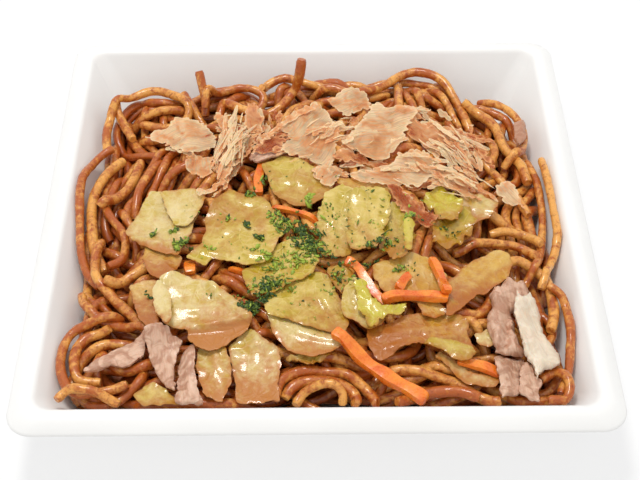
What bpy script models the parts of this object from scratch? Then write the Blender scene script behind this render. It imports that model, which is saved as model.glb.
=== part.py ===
"""Yakisoba in its square white tray: fried noodles, cabbage, carrot, pork and dried fish flakes.

Metres, +Z up. The origin is the middle of the tray's flat base, and the front is at -Y.
The tray is one lofted shell. The noodles are one uneven heap that fills it. Each topping is a thin
closed sheet or a bent stick that is laid on whatever lies under it, from the lowest to the highest.
"""

import math

import bpy
import numpy as np

MM = 0.001

# Tray: half width and height of each ring of its section, and the corner radius there, in mm.
TRAY_HALF = 85.0
RIM_HEIGHT = 24.0
FLOOR_HALF = 62.0
FLOOR_THICK = 1.2
BASE_HALF = 63.5
WALL_THICK = 1.1
WALL_FOOT = (66.0, 4.0)
WALL_HEAD = (77.2, 22.6)
LIP_DROP = 2.7
LIP_RADIUS = 7.5
RIM_RADIUS = 4.6
BASE_RADIUS = 8.0
CORNER_STEPS = 5

# Noodle heap, in mm. Its outline runs anticlockwise from the front left corner.
HEAP_CLEARANCE = 0.8
HEAP_EDGE = 18.4
HEAP_RISE = 8.0
HEAP_REACH = 73.0
HEAP_BOTTOM = 1.7
HEAP_CELLS = 40
HEAP_MIDDLE = (0.0, -4.0)
HEAP_LUMP = 1.5
HEAP_SEED = 7
HEAP_OUTLINE = (
    (-72, -74), (-40, -75), (0, -75), (40, -75), (70, -74),
    (73, -60), (74, -44), (70, -34), (72.5, -22), (75, -4), (75, 16), (71, 29), (70, 43),
    (64, 52), (55, 52), (48, 60), (37, 68), (23, 68), (9, 64), (-5, 66), (-22, 63), (-38, 64),
    (-46, 59), (-57, 61), (-67, 57), (-71, 47), (-71, 30), (-75, 18), (-74.5, -2), (-71.5, -20),
    (-71, -33), (-72.5, -57),
)
STRAND_BUNDLE = 3.6
# Bundles of strands that stand out of the heap as arcs:
# middle x and y, radius along x and y, first and last angle in degrees, height.
BUNDLES = (
    (20, 50, 46, 17, 20, 150, 2.4),
    (-44, 49, 20, 15, 20, 200, 2.2),
    (-14, 52, 17, 13, 10, 190, 2.0),
    (-72, 10, 9, 46, 100, 250, 1.8),
    (66, 12, 7, 50, -80, 80, 2.0),
    (58, -30, 14, 20, -60, 100, 1.8),
    (-52, -42, 16, 22, 110, 280, 1.8),
    (-58, -62, 10, 9, 60, 300, 1.6),
    (16, -70, 16, 7, 10, 170, 1.8),
    (46, 44, 17, 13, 60, 260, 1.8),
    (-60, 40, 10, 20, 90, 270, 1.4),
    (30, 58, 30, 9, 20, 160, 1.6),
)

# Toppings, in mm.
GAP = 0.4
LEAF_THICK = 1.3
RIB_THICK = 2.2
PORK_THICK = 1.9
FAT_THICK = 2.6
FLAKE_THICK = 0.6
CARROT_THICK = 3.4
CELL = 0.5
MARGIN = 88.0

COLOURS = {
    "tray_white": ((0.86, 0.86, 0.85), 0.45),
    "noodle": ((0.42, 0.19, 0.065), 0.35),
    "cabbage_pale": ((0.62, 0.55, 0.30), 0.35),
    "cabbage_green": ((0.52, 0.50, 0.14), 0.35),
    "cabbage_browned": ((0.47, 0.28, 0.10), 0.35),
    "carrot": ((0.75, 0.24, 0.03), 0.35),
    "pork": ((0.46, 0.27, 0.18), 0.4),
    "pork_fat": ((0.78, 0.70, 0.58), 0.3),
    "fish_flake": ((0.66, 0.46, 0.29), 0.6),
}


# ---------------------------------------------------------------- blender objects

def clear_scene():
    """Removes every object of the open scene."""
    for old in list(bpy.data.objects):
        bpy.data.objects.remove(old, do_unlink=True)


def material(name):
    """The named Principled material, made on its first use."""
    found = bpy.data.materials.get(name)
    if found:
        return found
    colour, roughness = COLOURS[name]
    made = bpy.data.materials.new(name)
    made.use_nodes = True
    shader = made.node_tree.nodes["Principled BSDF"]
    shader.inputs["Base Color"].default_value = (*colour, 1.0)
    shader.inputs["Roughness"].default_value = roughness
    shader.inputs["Metallic"].default_value = 0.0
    return made


def add_object(name, points, faces, finish):
    """One mesh object from points in mm and faces, with its material."""
    mesh = bpy.data.meshes.new(name)
    mesh.from_pydata([tuple(float(c) * MM for c in p) for p in points], [], faces)
    mesh.validate()
    mesh.materials.append(material(finish))
    mesh.shade_smooth()
    mesh.set_sharp_from_angle(angle=math.radians(50))
    piece = bpy.data.objects.new(name, mesh)
    bpy.context.scene.collection.objects.link(piece)
    return piece


def triangles_of(faces):
    """Each face as a fan of triangles."""
    fans = []
    for face in faces:
        for k in range(1, len(face) - 1):
            fans.append((face[0], face[k], face[k + 1]))
    return fans


# ---------------------------------------------------------------- tray

def rounded_square(half, radius):
    """Corner by corner, anticlockwise, the outline of a square with round corners."""
    inner = half - radius
    outline = []
    for corner in range(4):
        start = corner * 90.0
        turn = math.radians(start + 45.0)
        mid_x = math.copysign(inner, math.cos(turn))
        mid_y = math.copysign(inner, math.sin(turn))
        for step in range(CORNER_STEPS + 1):
            angle = math.radians(start + 90.0 * step / CORNER_STEPS)
            outline.append((mid_x + radius * math.cos(angle), mid_y + radius * math.sin(angle)))
    return outline


def tray_section():
    """Half width, height and corner radius of each ring, from the base out and over the rim."""
    foot_half, foot_z = WALL_FOOT
    head_half, head_z = WALL_HEAD
    lip_z = RIM_HEIGHT - LIP_DROP
    return (
        (BASE_HALF, 0.0, BASE_RADIUS),
        (BASE_HALF + 2.0, 0.9, BASE_RADIUS),
        (foot_half + WALL_THICK + 0.3, foot_z - 0.6, BASE_RADIUS),
        (head_half + 2.1, RIM_HEIGHT - 1.3, RIM_RADIUS + 1.0),
        (head_half + 4.1, RIM_HEIGHT - 1.6, RIM_RADIUS + 1.8),
        (TRAY_HALF - 0.5, lip_z - 0.7, LIP_RADIUS),
        (TRAY_HALF, lip_z + 0.1, LIP_RADIUS),
        (head_half + 4.4, RIM_HEIGHT - 0.3, RIM_RADIUS + 2.0),
        (head_half + 3.6, RIM_HEIGHT, RIM_RADIUS + 1.5),
        (head_half + 1.8, RIM_HEIGHT, RIM_RADIUS + 0.8),
        (head_half + 1.0, RIM_HEIGHT - 0.2, RIM_RADIUS + 0.4),
        (head_half, head_z, RIM_RADIUS),
        (foot_half, foot_z, BASE_RADIUS - 1.0),
        (FLOOR_HALF + 2.5, FLOOR_THICK + 0.8, BASE_RADIUS - 1.0),
        (FLOOR_HALF, FLOOR_THICK, BASE_RADIUS - 1.0),
    )


def make_tray():
    """The shell: one ring of points for each step of the section, joined by quads."""
    points = []
    faces = []
    section = tray_section()
    for half, height, radius in section:
        for x, y in rounded_square(half, radius):
            points.append((x, y, height))
    count = len(points) // len(section)
    for ring in range(len(section) - 1):
        for k in range(count):
            here = ring * count + k
            beside = ring * count + (k + 1) % count
            faces.append((here, beside, beside + count, here + count))
    faces.append(tuple(range(count - 1, -1, -1)))
    last = (len(section) - 1) * count
    faces.append(tuple(range(last, last + count)))
    add_object("tray", points, faces, "tray_white")
    return points, faces


# ---------------------------------------------------------------- ground under the toppings

class Ground:
    """The highest surface so far on a square grid, so that a piece can be laid on it."""

    def __init__(self):
        self.size = int(2 * MARGIN / CELL)
        self.top = np.zeros((self.size, self.size))

    def cover(self, xy, triangles):
        """Cells under the triangles, with the three corners and weights of each."""
        rows, columns, corners, weights = [], [], [], []
        reach = 0.6 * CELL
        for tri in triangles:
            a, b, c = (xy[i] for i in tri)
            area = (b[0] - a[0]) * (c[1] - a[1]) - (b[1] - a[1]) * (c[0] - a[0])
            if abs(area) < 1e-6:
                continue
            low = np.floor((np.minimum(np.minimum(a, b), c) - reach + MARGIN) / CELL).astype(int)
            high = np.ceil((np.maximum(np.maximum(a, b), c) + reach + MARGIN) / CELL).astype(int)
            low = np.clip(low, 0, self.size - 1)
            high = np.clip(high, 0, self.size - 1)
            j, i = np.meshgrid(np.arange(low[0], high[0] + 1), np.arange(low[1], high[1] + 1))
            px = (j + 0.5) * CELL - MARGIN
            py = (i + 0.5) * CELL - MARGIN
            wb = ((px - a[0]) * (c[1] - a[1]) - (py - a[1]) * (c[0] - a[0])) / area
            wc = ((b[0] - a[0]) * (py - a[1]) - (b[1] - a[1]) * (px - a[0])) / area
            span = max(np.linalg.norm(b - a), np.linalg.norm(c - a), np.linalg.norm(c - b))
            slack = reach * span / abs(area)
            wa = 1.0 - wb - wc
            inside = (wa > -slack) & (wb > -slack) & (wc > -slack)
            shares = np.stack([wa[inside], wb[inside], wc[inside]], axis=1)
            shares = np.clip(shares, 0.0, 1.0)
            shares /= shares.sum(axis=1, keepdims=True)
            rows.append(i[inside])
            columns.append(j[inside])
            corners.append(np.tile(tri, (len(shares), 1)))
            weights.append(shares)
        return (np.concatenate(rows), np.concatenate(columns),
                np.concatenate(corners), np.concatenate(weights))

    def pile(self, xy, heights, triangles):
        """Raises the ground to the triangles, a cell wider all round than they are."""
        rows, columns, corners, weights = self.cover(xy, triangles)
        level = (heights[corners] * weights).sum(axis=1)
        for step_y in (-1, 0, 1):
            for step_x in (-1, 0, 1):
                near_rows = np.clip(rows + step_y, 0, self.size - 1)
                near_columns = np.clip(columns + step_x, 0, self.size - 1)
                np.maximum.at(self.top, (near_rows, near_columns), level)

    def rest(self, xy, triangles, links, softness):
        """Heights of a sheet that sinks from above until it lies on the ground."""
        rows, columns, corners, weights = self.cover(xy, triangles)
        floor = self.top[rows, columns] + GAP
        strength = (weights ** 2).sum(axis=1)
        heights = np.full(len(xy), floor.max())
        degree = np.bincount(links.ravel(), minlength=len(xy)).astype(float)
        for turn in range(90):
            sinking = turn < 80
            heights = heights - (0.25 if sinking else 0.0)
            mean = np.bincount(links[:, 0], heights[links[:, 1]], len(xy))
            mean = mean + np.bincount(links[:, 1], heights[links[:, 0]], len(xy))
            heights = heights + (1.0 - softness) * 0.5 * (mean / degree - heights)
            for _ in range(4):
                short = floor - (heights[corners] * weights).sum(axis=1)
                need = np.clip(short, 0.0, None) / strength
                lift = np.zeros(len(xy))
                for corner in range(3):
                    np.maximum.at(lift, corners[:, corner], need * weights[:, corner])
                heights = heights + lift
        short = floor - (heights[corners] * weights).sum(axis=1)
        return heights + max(0.0, short.max())


def links_of(faces):
    """Every edge of the faces once, as pairs of point numbers."""
    pairs = set()
    for face in faces:
        for k, here in enumerate(face):
            beside = face[(k + 1) % len(face)]
            pairs.add((min(here, beside), max(here, beside)))
    return np.array(sorted(pairs))


# ---------------------------------------------------------------- noodle heap

def smooth_noise(seed, spacing):
    """A function of x and y in mm that rolls between -1 and 1 over the spacing."""
    count = int(2 * MARGIN / spacing) + 3
    knots = np.random.default_rng(seed).uniform(-1.0, 1.0, (count, count))

    def value(x, y):
        across = (x + MARGIN) / spacing
        along = (y + MARGIN) / spacing
        j = np.floor(across).astype(int)
        i = np.floor(along).astype(int)
        u = across - j
        v = along - i
        u = u * u * (3 - 2 * u)
        v = v * v * (3 - 2 * v)
        near = knots[i, j] * (1 - u) + knots[i, j + 1] * u
        far = knots[i + 1, j] * (1 - u) + knots[i + 1, j + 1] * u
        return near * (1 - v) + far * v

    return value


def bundle_height(x, y):
    """How far the arcs of strands lift the heap at a point."""
    lift = np.zeros_like(x)
    for mid_x, mid_y, reach_x, reach_y, first, last, rise in BUNDLES:
        angles = np.radians(np.linspace(first, last, 40))
        arc_x = mid_x + reach_x * np.cos(angles)
        arc_y = mid_y + reach_y * np.sin(angles)
        away = np.hypot(x[..., None] - arc_x, y[..., None] - arc_y).min(axis=-1)
        lift = np.maximum(lift, rise * np.clip(1.0 - (away / STRAND_BUNDLE) ** 2, 0.0, None))
    return lift


def heap_net():
    """The heap's top as a square net: its points, faces and the numbers round its border."""
    half = HEAP_CELLS // 2
    edge = smooth_loop(HEAP_OUTLINE, 4 * HEAP_CELLS)
    middle = np.array(HEAP_MIDDLE)
    xy = []
    index = {}
    for i in range(-half, half + 1):
        for j in range(-half, half + 1):
            ring = max(abs(i), abs(j))
            side = 0 if i == -ring else 1 if j == ring else 2 if i == ring else 3
            walked = (j + ring, i + ring, ring - j, ring - i)[side]
            place = (side + (walked / (2 * ring) if ring else 0.0)) * HEAP_CELLS
            low = int(place) % len(edge)
            share = place - int(place)
            point = edge[low] * (1 - share) + edge[(low + 1) % len(edge)] * share
            index[i, j] = len(xy)
            xy.append(middle + (point - middle) * ring / half)
    faces = []
    for i in range(-half, half):
        for j in range(-half, half):
            a, b = index[i, j], index[i, j + 1]
            c, d = index[i + 1, j + 1], index[i + 1, j]
            if (i >= 0) == (j >= 0):
                faces.extend(((a, b, c), (a, c, d)))
            else:
                faces.extend(((a, b, d), (b, c, d)))
    border = [index[-half, j] for j in range(-half, half)]
    border += [index[i, half] for i in range(-half, half)]
    border += [index[half, j] for j in range(half, -half, -1)]
    border += [index[i, -half] for i in range(half, -half, -1)]
    return np.array(xy), faces, border


def heap_heights(x, y):
    """Height of the heap's top: a dome with lumps and bundles, held off the tray's wall."""
    roll = smooth_noise(HEAP_SEED, 15.0)
    bump = smooth_noise(HEAP_SEED + 1, 7.5)
    spread = ((np.abs(x) / HEAP_REACH) ** 4 + (np.abs(y) / HEAP_REACH) ** 4) ** 0.25
    dome = HEAP_EDGE + HEAP_RISE * (1.0 - np.clip(spread, 0.0, 1.0) ** 3)
    lumps = HEAP_LUMP * (roll(x, y) + 0.55 * bump(x, y))
    inner = np.clip((1.0 - spread) * 12.0, 0.0, 1.0)
    top = dome + lumps * (0.4 + 0.6 * inner) + bundle_height(x, y) * (0.5 + 0.5 * inner)
    foot_half, foot_z = WALL_FOOT
    head_half, head_z = WALL_HEAD
    slope = (head_z - foot_z) / (head_half - foot_half)
    wall = foot_z + (np.maximum(np.abs(x), np.abs(y)) + HEAP_CLEARANCE - foot_half) * slope
    return np.maximum(top, wall)


def make_heap():
    """The heap: a lumpy top, sides that follow the tray's wall, and a flat underside."""
    xy, top_faces, border = heap_net()
    top = heap_heights(xy[:, 0], xy[:, 1])
    points = [(x, y, z) for (x, y), z in zip(xy, top)]
    faces = list(top_faces)
    upper = border
    for height, half in ((WALL_FOOT[1] + 0.8, WALL_FOOT[0] - 0.5), (HEAP_BOTTOM, FLOOR_HALF - 0.6)):
        lower = []
        for number in border:
            x, y = xy[number]
            size = (abs(x) ** 12 + abs(y) ** 12) ** (1 / 12)
            shrink = min(1.0, half / size)
            lower.append(len(points))
            points.append((x * shrink, y * shrink, height))
        for k, here in enumerate(upper):
            after = (k + 1) % len(upper)
            faces.append((upper[after], here, lower[k], lower[after]))
        upper = lower
    middle = len(points)
    points.append((0.0, 0.0, HEAP_BOTTOM))
    for k, here in enumerate(upper):
        faces.append((middle, upper[(k + 1) % len(upper)], here))
    add_object("noodle_heap", points, faces, "noodle")
    return xy, top, top_faces


# ---------------------------------------------------------------- toppings

def smooth_loop(outline, count):
    """Points spread evenly, anticlockwise, along a smooth closed curve through the outline."""
    knots = np.array(outline, float)
    ahead = np.roll(knots, -1, axis=0)
    if (knots[:, 0] * ahead[:, 1] - knots[:, 1] * ahead[:, 0]).sum() < 0:
        knots = knots[::-1]
    fine = []
    total = len(knots)
    for k in range(total):
        before, here, after, beyond = (knots[(k + s) % total] for s in (-1, 0, 1, 2))
        for t in np.linspace(0.0, 1.0, 12, endpoint=False):
            bend = 2 * here + (after - before) * t
            bend = bend + (2 * before - 5 * here + 4 * after - beyond) * t * t
            bend = bend + (3 * here - before - 3 * after + beyond) * t ** 3
            fine.append(bend / 2)
    fine = np.array(fine)
    step = np.linalg.norm(np.roll(fine, -1, axis=0) - fine, axis=1)
    walked = np.concatenate([[0.0], np.cumsum(step)])
    closed = np.vstack([fine, fine[:1]])
    wanted = np.linspace(0.0, walked[-1], count, endpoint=False)
    return np.stack([np.interp(wanted, walked, closed[:, axis]) for axis in (0, 1)], axis=1)


def smooth_line(route, count):
    """Points spread evenly along a smooth open curve through the route."""
    knots = np.array(route, float)
    ends = np.vstack([2 * knots[0] - knots[1], knots, 2 * knots[-1] - knots[-2]])
    fine = []
    for k in range(1, len(ends) - 2):
        before, here, after, beyond = ends[k - 1], ends[k], ends[k + 1], ends[k + 2]
        for t in np.linspace(0.0, 1.0, 16, endpoint=False):
            bend = 2 * here + (after - before) * t
            bend = bend + (2 * before - 5 * here + 4 * after - beyond) * t * t
            bend = bend + (3 * here - before - 3 * after + beyond) * t ** 3
            fine.append(bend / 2)
    fine.append(knots[-1])
    fine = np.array(fine)
    walked = np.concatenate([[0.0], np.cumsum(np.linalg.norm(np.diff(fine, axis=0), axis=1))])
    wanted = np.linspace(0.0, walked[-1], count)
    return np.stack([np.interp(wanted, walked, fine[:, axis]) for axis in (0, 1)], axis=1)


def close_sheet(xy, faces, border, low, high):
    """Points and faces of a solid between two heights over one flat net."""
    count = len(xy)
    points = [(x, y, z) for (x, y), z in zip(xy, high)]
    points += [(x, y, z) for (x, y), z in zip(xy, low)]
    solid = [tuple(face) for face in faces]
    solid += [tuple(i + count for i in reversed(face)) for face in faces]
    for k, here in enumerate(border):
        after = border[(k + 1) % len(border)]
        solid.append((after, here, here + count, after + count))
    return points, solid


def lay_sheet(ground, name, finish, thick, outline, spokes=14, frill=0.0, waves=3, softness=0.6):
    """A leaf or slice: a flat net of rings inside its outline, laid down and given its thickness.

    frill is how far the edge stands up, waves times on its way round.
    """
    edge = smooth_loop(outline, spokes)
    middle = edge.mean(axis=0)
    rings = (0.55, 1.0)
    xy = [middle]
    for ring in rings:
        xy.extend(middle + (edge - middle) * ring)
    xy = np.array(xy)
    faces = [(0, 1 + k, 1 + (k + 1) % spokes) for k in range(spokes)]
    for k in range(spokes):
        after = (k + 1) % spokes
        inner, outer = 1, 1 + spokes
        faces.append((inner + k, outer + k, outer + after))
        faces.append((inner + k, outer + after, inner + after))
    low = ground.rest(xy, faces, links_of(faces), softness)
    turn = np.arange(spokes) * 2 * math.pi / spokes
    ripple = 0.5 + 0.5 * np.sin(waves * turn + len(name))
    low[1 + spokes:] += frill * ripple
    low[1:1 + spokes] += 0.3 * frill * ripple
    full = np.full(len(xy), thick)
    full[1 + spokes:] *= 0.8
    border = list(range(1 + spokes, 1 + 2 * spokes))
    points, solid = close_sheet(xy, faces, border, low, low + full)
    add_object(name, points, solid, finish)
    ground.pile(xy, low + full, faces)


def lay_strip(ground, name, finish, thick, route, width, steps=7, rise=0.0, softness=0.15):
    """A stick or ribbon along a route: four points across, its long edges a little rounded."""
    line = smooth_line(route, steps)
    ahead = np.gradient(line, axis=0)
    ahead /= np.linalg.norm(ahead, axis=1, keepdims=True)
    side = np.stack([-ahead[:, 1], ahead[:, 0]], axis=1)
    shares = np.array([-0.5, -0.32, 0.32, 0.5])
    xy = np.concatenate([line + side * width * share for share in shares])
    across = len(shares)
    faces = []
    for column in range(across - 1):
        for k in range(steps - 1):
            here = column * steps + k
            faces.append((here, here + 1, here + 1 + steps))
            faces.append((here, here + 1 + steps, here + steps))
    if np.cross(xy[1] - xy[0], xy[steps] - xy[0]) < 0:
        faces = [tuple(reversed(face)) for face in faces]
    low = ground.rest(xy, faces, links_of(faces), softness)
    arch = np.sin(np.linspace(0.0, math.pi, steps)) * rise
    low += np.tile(arch, across)
    full = np.repeat(np.where(np.abs(shares) > 0.4, 0.72, 1.0) * thick, steps)
    border = list(range(steps))
    border += [column * steps + steps - 1 for column in range(1, across)]
    border += [(across - 1) * steps + k for k in range(steps - 2, -1, -1)]
    border += [column * steps for column in range(across - 2, 0, -1)]
    points, solid = close_sheet(xy, faces, border, low, low + full)
    add_object(name, points, solid, finish)
    ground.pile(xy, low + full, faces)


def lay_front_leaves(ground):
    """Pale cabbage along the front wall and the left side, under everything else."""
    lay_sheet(ground, "cabbage_front_corner", "cabbage_green", LEAF_THICK,
              ((-50, -68), (-43, -67), (-38, -71), (-39, -75), (-47, -76), (-52, -72)), 10)
    lay_sheet(ground, "cabbage_front_pale", "cabbage_pale", LEAF_THICK,
              ((-26, -58), (-15, -54), (-10, -59), (-10, -75), (-22, -76), (-25, -67)))
    lay_sheet(ground, "cabbage_front_strip", "cabbage_pale", LEAF_THICK,
              ((-33, -58), (-26, -58), (-24, -64), (-27, -75), (-32, -75), (-33, -67)), 12)
    lay_sheet(ground, "cabbage_left_under", "cabbage_browned", LEAF_THICK,
              ((-54, -37), (-48, -32), (-45, -40), (-44, -50), (-49, -51), (-53, -45)), 12)
    lay_sheet(ground, "cabbage_low_tip", "cabbage_pale", LEAF_THICK,
              ((41, -66), (46, -66), (51, -66), (51, -70), (44, -71)), 10)
    lay_sheet(ground, "cabbage_left_small", "cabbage_browned", LEAF_THICK,
              ((-52, -23), (-48, -20), (-43, -25), (-42, -30), (-47, -33), (-52, -28)), 10)
    lay_strip(ground, "carrot_under", "carrot", 0.8 * CARROT_THICK,
              ((-39, -25), (-37, -29), (-36, -34)), 3.2, steps=4)


def lay_left_pork(ground):
    """Thin pork slices at the front left."""
    lay_sheet(ground, "pork_left_long", "pork", PORK_THICK,
              ((-66, -62), (-63, -57), (-55, -54), (-44, -51), (-43, -54), (-51, -60), (-56, -63)))
    lay_sheet(ground, "pork_left_mid", "pork", PORK_THICK,
              ((-48, -55), (-39, -55), (-38, -61), (-38, -71), (-41, -72), (-45, -65)), 12)
    lay_sheet(ground, "pork_left_low", "pork", PORK_THICK,
              ((-38, -60), (-34, -58), (-32, -69), (-32, -75), (-38, -75), (-39, -68)), 12)


def lay_front_left(ground):
    """The broad browned leaf at the front left with its thick white rib, and its neighbours."""
    lay_sheet(ground, "cabbage_front_frill", "cabbage_green", LEAF_THICK,
              ((-8, -62), (-4, -59), (2, -60), (2, -64), (-4, -64)), 10, frill=1.2, waves=4)
    lay_sheet(ground, "cabbage_low_right", "cabbage_browned", LEAF_THICK,
              ((15, -51), (27, -48), (39, -46), (45, -51), (44, -58), (33, -58), (19, -62)))
    lay_sheet(ground, "cabbage_front_left", "cabbage_browned", LEAF_THICK,
              ((-44, -34), (-33, -35), (-24, -41), (-18, -54), (-27, -60), (-36, -57), (-44, -52)),
              16, frill=0.6)
    lay_sheet(ground, "cabbage_rib", "cabbage_pale", RIB_THICK,
              ((-46, -36), (-43, -38), (-41, -48), (-43, -53), (-47, -45)), 10)


def lay_centre_leaves(ground):
    """The folded leaf in the middle of the front, and the long carrot stick under its edge."""
    lay_strip(ground, "carrot_long", "carrot", CARROT_THICK,
              ((6, -58), (14, -64), (22, -70), (30.5, -76)), 4.0, steps=8)
    lay_sheet(ground, "cabbage_center_fold", "cabbage_browned", LEAF_THICK,
              ((-14, -51), (-4, -53), (8, -56), (7, -60), (-1, -62), (-10, -58)), 12)
    lay_sheet(ground, "cabbage_center", "cabbage_green", LEAF_THICK,
              ((-10, -40), (-4, -37), (3, -36), (7, -44), (8, -54), (-3, -53), (-13, -51)),
              frill=0.6, waves=2)


def lay_left_leaves(ground):
    """The white leaf on the left with its folded flap, and the two big leaves beside it."""
    lay_sheet(ground, "cabbage_left_white", "cabbage_pale", LEAF_THICK,
              ((-51, 4), (-42, 2), (-35, -3), (-37, -21), (-43, -25), (-57, -15), (-55, -3)),
              16, frill=0.8)
    lay_sheet(ground, "cabbage_left_flap", "cabbage_pale", LEAF_THICK,
              ((-48, 1), (-37, -1), (-33, -5), (-36, -11), (-42, -13), (-46, -6)), 12, frill=0.6)
    lay_sheet(ground, "cabbage_mid_left", "cabbage_green", LEAF_THICK,
              ((-26, 0), (-17, -5), (-8, -15), (-12, -23), (-33, -30), (-38, -26), (-34, -12)),
              16, frill=0.8)
    lay_sheet(ground, "cabbage_mid", "cabbage_green", LEAF_THICK,
              ((-12, -23), (0, -23), (2, -30), (-6, -37), (-16, -41), (-21, -37), (-20, -28)),
              frill=0.6)


def lay_back_leaves(ground):
    """Leaves and carrot slivers behind the middle."""
    lay_sheet(ground, "cabbage_upper_mid", "cabbage_green", LEAF_THICK,
              ((-15, 14), (-5, 12), (2, 11), (5, 3), (-2, -4), (-12, 0)), 12, frill=0.5)
    lay_strip(ground, "carrot_back", "carrot", 0.8 * CARROT_THICK,
              ((-17, 11), (-17, 4), (-19, -4)), 2.8, steps=5)
    lay_strip(ground, "carrot_thin", "carrot", 0.6 * CARROT_THICK,
              ((-16, -5), (-8, -8), (1, -12)), 2.4, steps=5)


def lay_right_leaves(ground):
    """The crumpled leaves in the middle and on the right, and a carrot stick between them."""
    lay_sheet(ground, "cabbage_mid_right", "cabbage_browned", LEAF_THICK,
              ((17, -31), (25, -28), (34, -28), (35, -38), (27, -41), (18, -40)), 12)
    lay_sheet(ground, "cabbage_leafy_left", "cabbage_green", LEAF_THICK,
              ((2, -10), (8, -7), (12, -12), (12, -24), (6, -30), (1, -27)), frill=1.6, waves=4)
    lay_sheet(ground, "cabbage_leafy_mid", "cabbage_green", LEAF_THICK,
              ((11, -7), (18, -4), (23, -9), (21, -22), (15, -30), (10, -24)), frill=1.6, waves=4)
    lay_sheet(ground, "cabbage_leafy_right", "cabbage_green", LEAF_THICK,
              ((21, -11), (26, -10), (29, -20), (26, -31), (19, -28)), 12, frill=1.4, waves=4)
    lay_sheet(ground, "cabbage_right_pale", "cabbage_pale", LEAF_THICK,
              ((45, -2), (52, -4), (57, -3), (54, -12), (44, -15)), 12, frill=0.8)
    lay_sheet(ground, "cabbage_right_frill", "cabbage_green", LEAF_THICK,
              ((33, -6), (37, -1), (43, -4), (44, -13), (38, -15)), 12, frill=1.8, waves=4)
    lay_sheet(ground, "cabbage_right_curl", "cabbage_green", LEAF_THICK,
              ((33, -25), (37, -19), (43, -20), (40, -25), (36, -29)), 10, frill=1.2, waves=3)
    lay_strip(ground, "carrot_bent", "carrot", 0.8 * CARROT_THICK,
              ((9, -32), (14, -37), (19, -42)), 3.2, steps=6, softness=0.4)
    lay_sheet(ground, "cabbage_pale_curl", "cabbage_pale", LEAF_THICK,
              ((7, -43), (11, -37), (16, -42), (16, -50), (12, -54), (8, -49)), 12, frill=0.8)
    lay_sheet(ground, "cabbage_bright", "cabbage_green", LEAF_THICK,
              ((11, -39), (16, -39), (20, -46), (26, -49), (18, -52), (12, -46)), 12,
              frill=1.4, waves=4)


def lay_right_sticks(ground):
    """Carrot sticks across the right half, and the browned leaf with a green tip beside them."""
    lay_strip(ground, "carrot_cross", "carrot", 0.8 * CARROT_THICK,
              ((23, -43), (31, -45), (39, -47)), 3.0, steps=6)
    lay_strip(ground, "carrot_short", "carrot", 0.8 * CARROT_THICK,
              ((35, -30), (37, -37), (38, -43)), 3.0, steps=5)
    lay_sheet(ground, "cabbage_right_brown", "cabbage_browned", LEAF_THICK,
              ((41, -37), (46, -29), (55, -23), (59, -28), (53, -36), (46, -40)), 12, frill=0.6)
    lay_strip(ground, "carrot_low", "carrot", 0.8 * CARROT_THICK,
              ((38, -64), (44, -65), (50, -67)), 3.0, steps=5)
    lay_sheet(ground, "cabbage_yellow_strip", "cabbage_green", LEAF_THICK,
              ((31, -57), (38, -57), (44, -61), (44, -64), (38, -63)), 10, frill=0.6)


def lay_right_pork(ground):
    """The thick pork slice with its strip of white fat on the right."""
    lay_sheet(ground, "pork_right_low", "pork", PORK_THICK,
              ((50, -60), (57, -60), (57, -71), (52, -72)), 10)
    lay_sheet(ground, "pork_right_corner", "pork", PORK_THICK,
              ((58, -60), (62, -60), (62, -70), (63, -75), (58, -74)), 10)
    lay_sheet(ground, "pork_right_back", "pork", PORK_THICK,
              ((62, -33), (64, -43), (60, -52), (57, -62), (50, -61), (49, -48), (54, -37)), 14)
    lay_sheet(ground, "pork_right_fat", "pork_fat", FAT_THICK,
              ((57, -43), (61, -43), (64, -52), (68, -64), (61, -68), (57, -57)), 12)


def lay_back_pork(ground):
    """Dark lumps of pork at the back and in the back right corner."""
    lay_sheet(ground, "pork_back", "pork", 1.4 * PORK_THICK,
              ((-21, 16), (-19, 24), (-14, 28), (-9, 25), (-9, 19), (-15, 16)), 10)
    lay_sheet(ground, "pork_back_right", "pork", 1.4 * PORK_THICK,
              ((60, 36), (65, 43), (69, 39), (67, 31), (62, 29)), 10)


def lay_flakes(ground):
    """Dried fish flakes: stiff, thin and curled, on top of everything at the back."""
    sheets = (
        ("flake_left", ((-55, 30), (-42, 36), (-35, 35), (-34, 22), (-40, 18), (-52, 25)), 12),
        ("flake_mid_left", ((-11, 32), (-2, 38), (6, 37), (7, 20), (4, 10), (-11, 13)), 14),
        ("flake_top", ((6, 48), (14, 52), (18, 44), (13, 36), (7, 39)), 10),
        ("flake_lower", ((-1, 10), (7, 14), (11, 9), (4, -3)), 10),
        ("flake_centre", ((10, 38), (20, 43), (30, 37), (31, 27), (20, 17), (10, 22)), 14),
        ("flake_right", ((11, 7), (24, 11), (38, 16), (41, 10), (38, 2), (24, -1)), 14),
        ("flake_dark", ((22, -1), (28, 1), (33, -9), (36, -20), (31, -22), (25, -11)), 12),
        ("flake_far_right", ((58, 9), (63, 9), (66, 1), (61, -2)), 10),
    )
    for name, outline, spokes in sheets:
        lay_sheet(ground, name, "fish_flake", FLAKE_THICK, outline, spokes,
                  frill=2.4, waves=2, softness=0.1)
    ribbons = (
        ("flake_ribbon", ((-36, 29), (-29, 22), (-26, 12), (-29, 2), (-37, -5)), 3.2, 9, 2.0),
        ("flake_curl", ((-21, 17), (-16, 26), (-9, 33), (-2, 37)), 2.6, 7, 1.5),
        ("flake_long", ((39, 15), (45, 10), (53, 0)), 3.0, 6, 1.5),
    )
    for name, route, width, steps, rise in ribbons:
        lay_strip(ground, name, "fish_flake", FLAKE_THICK, route, width, steps, rise)


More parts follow.
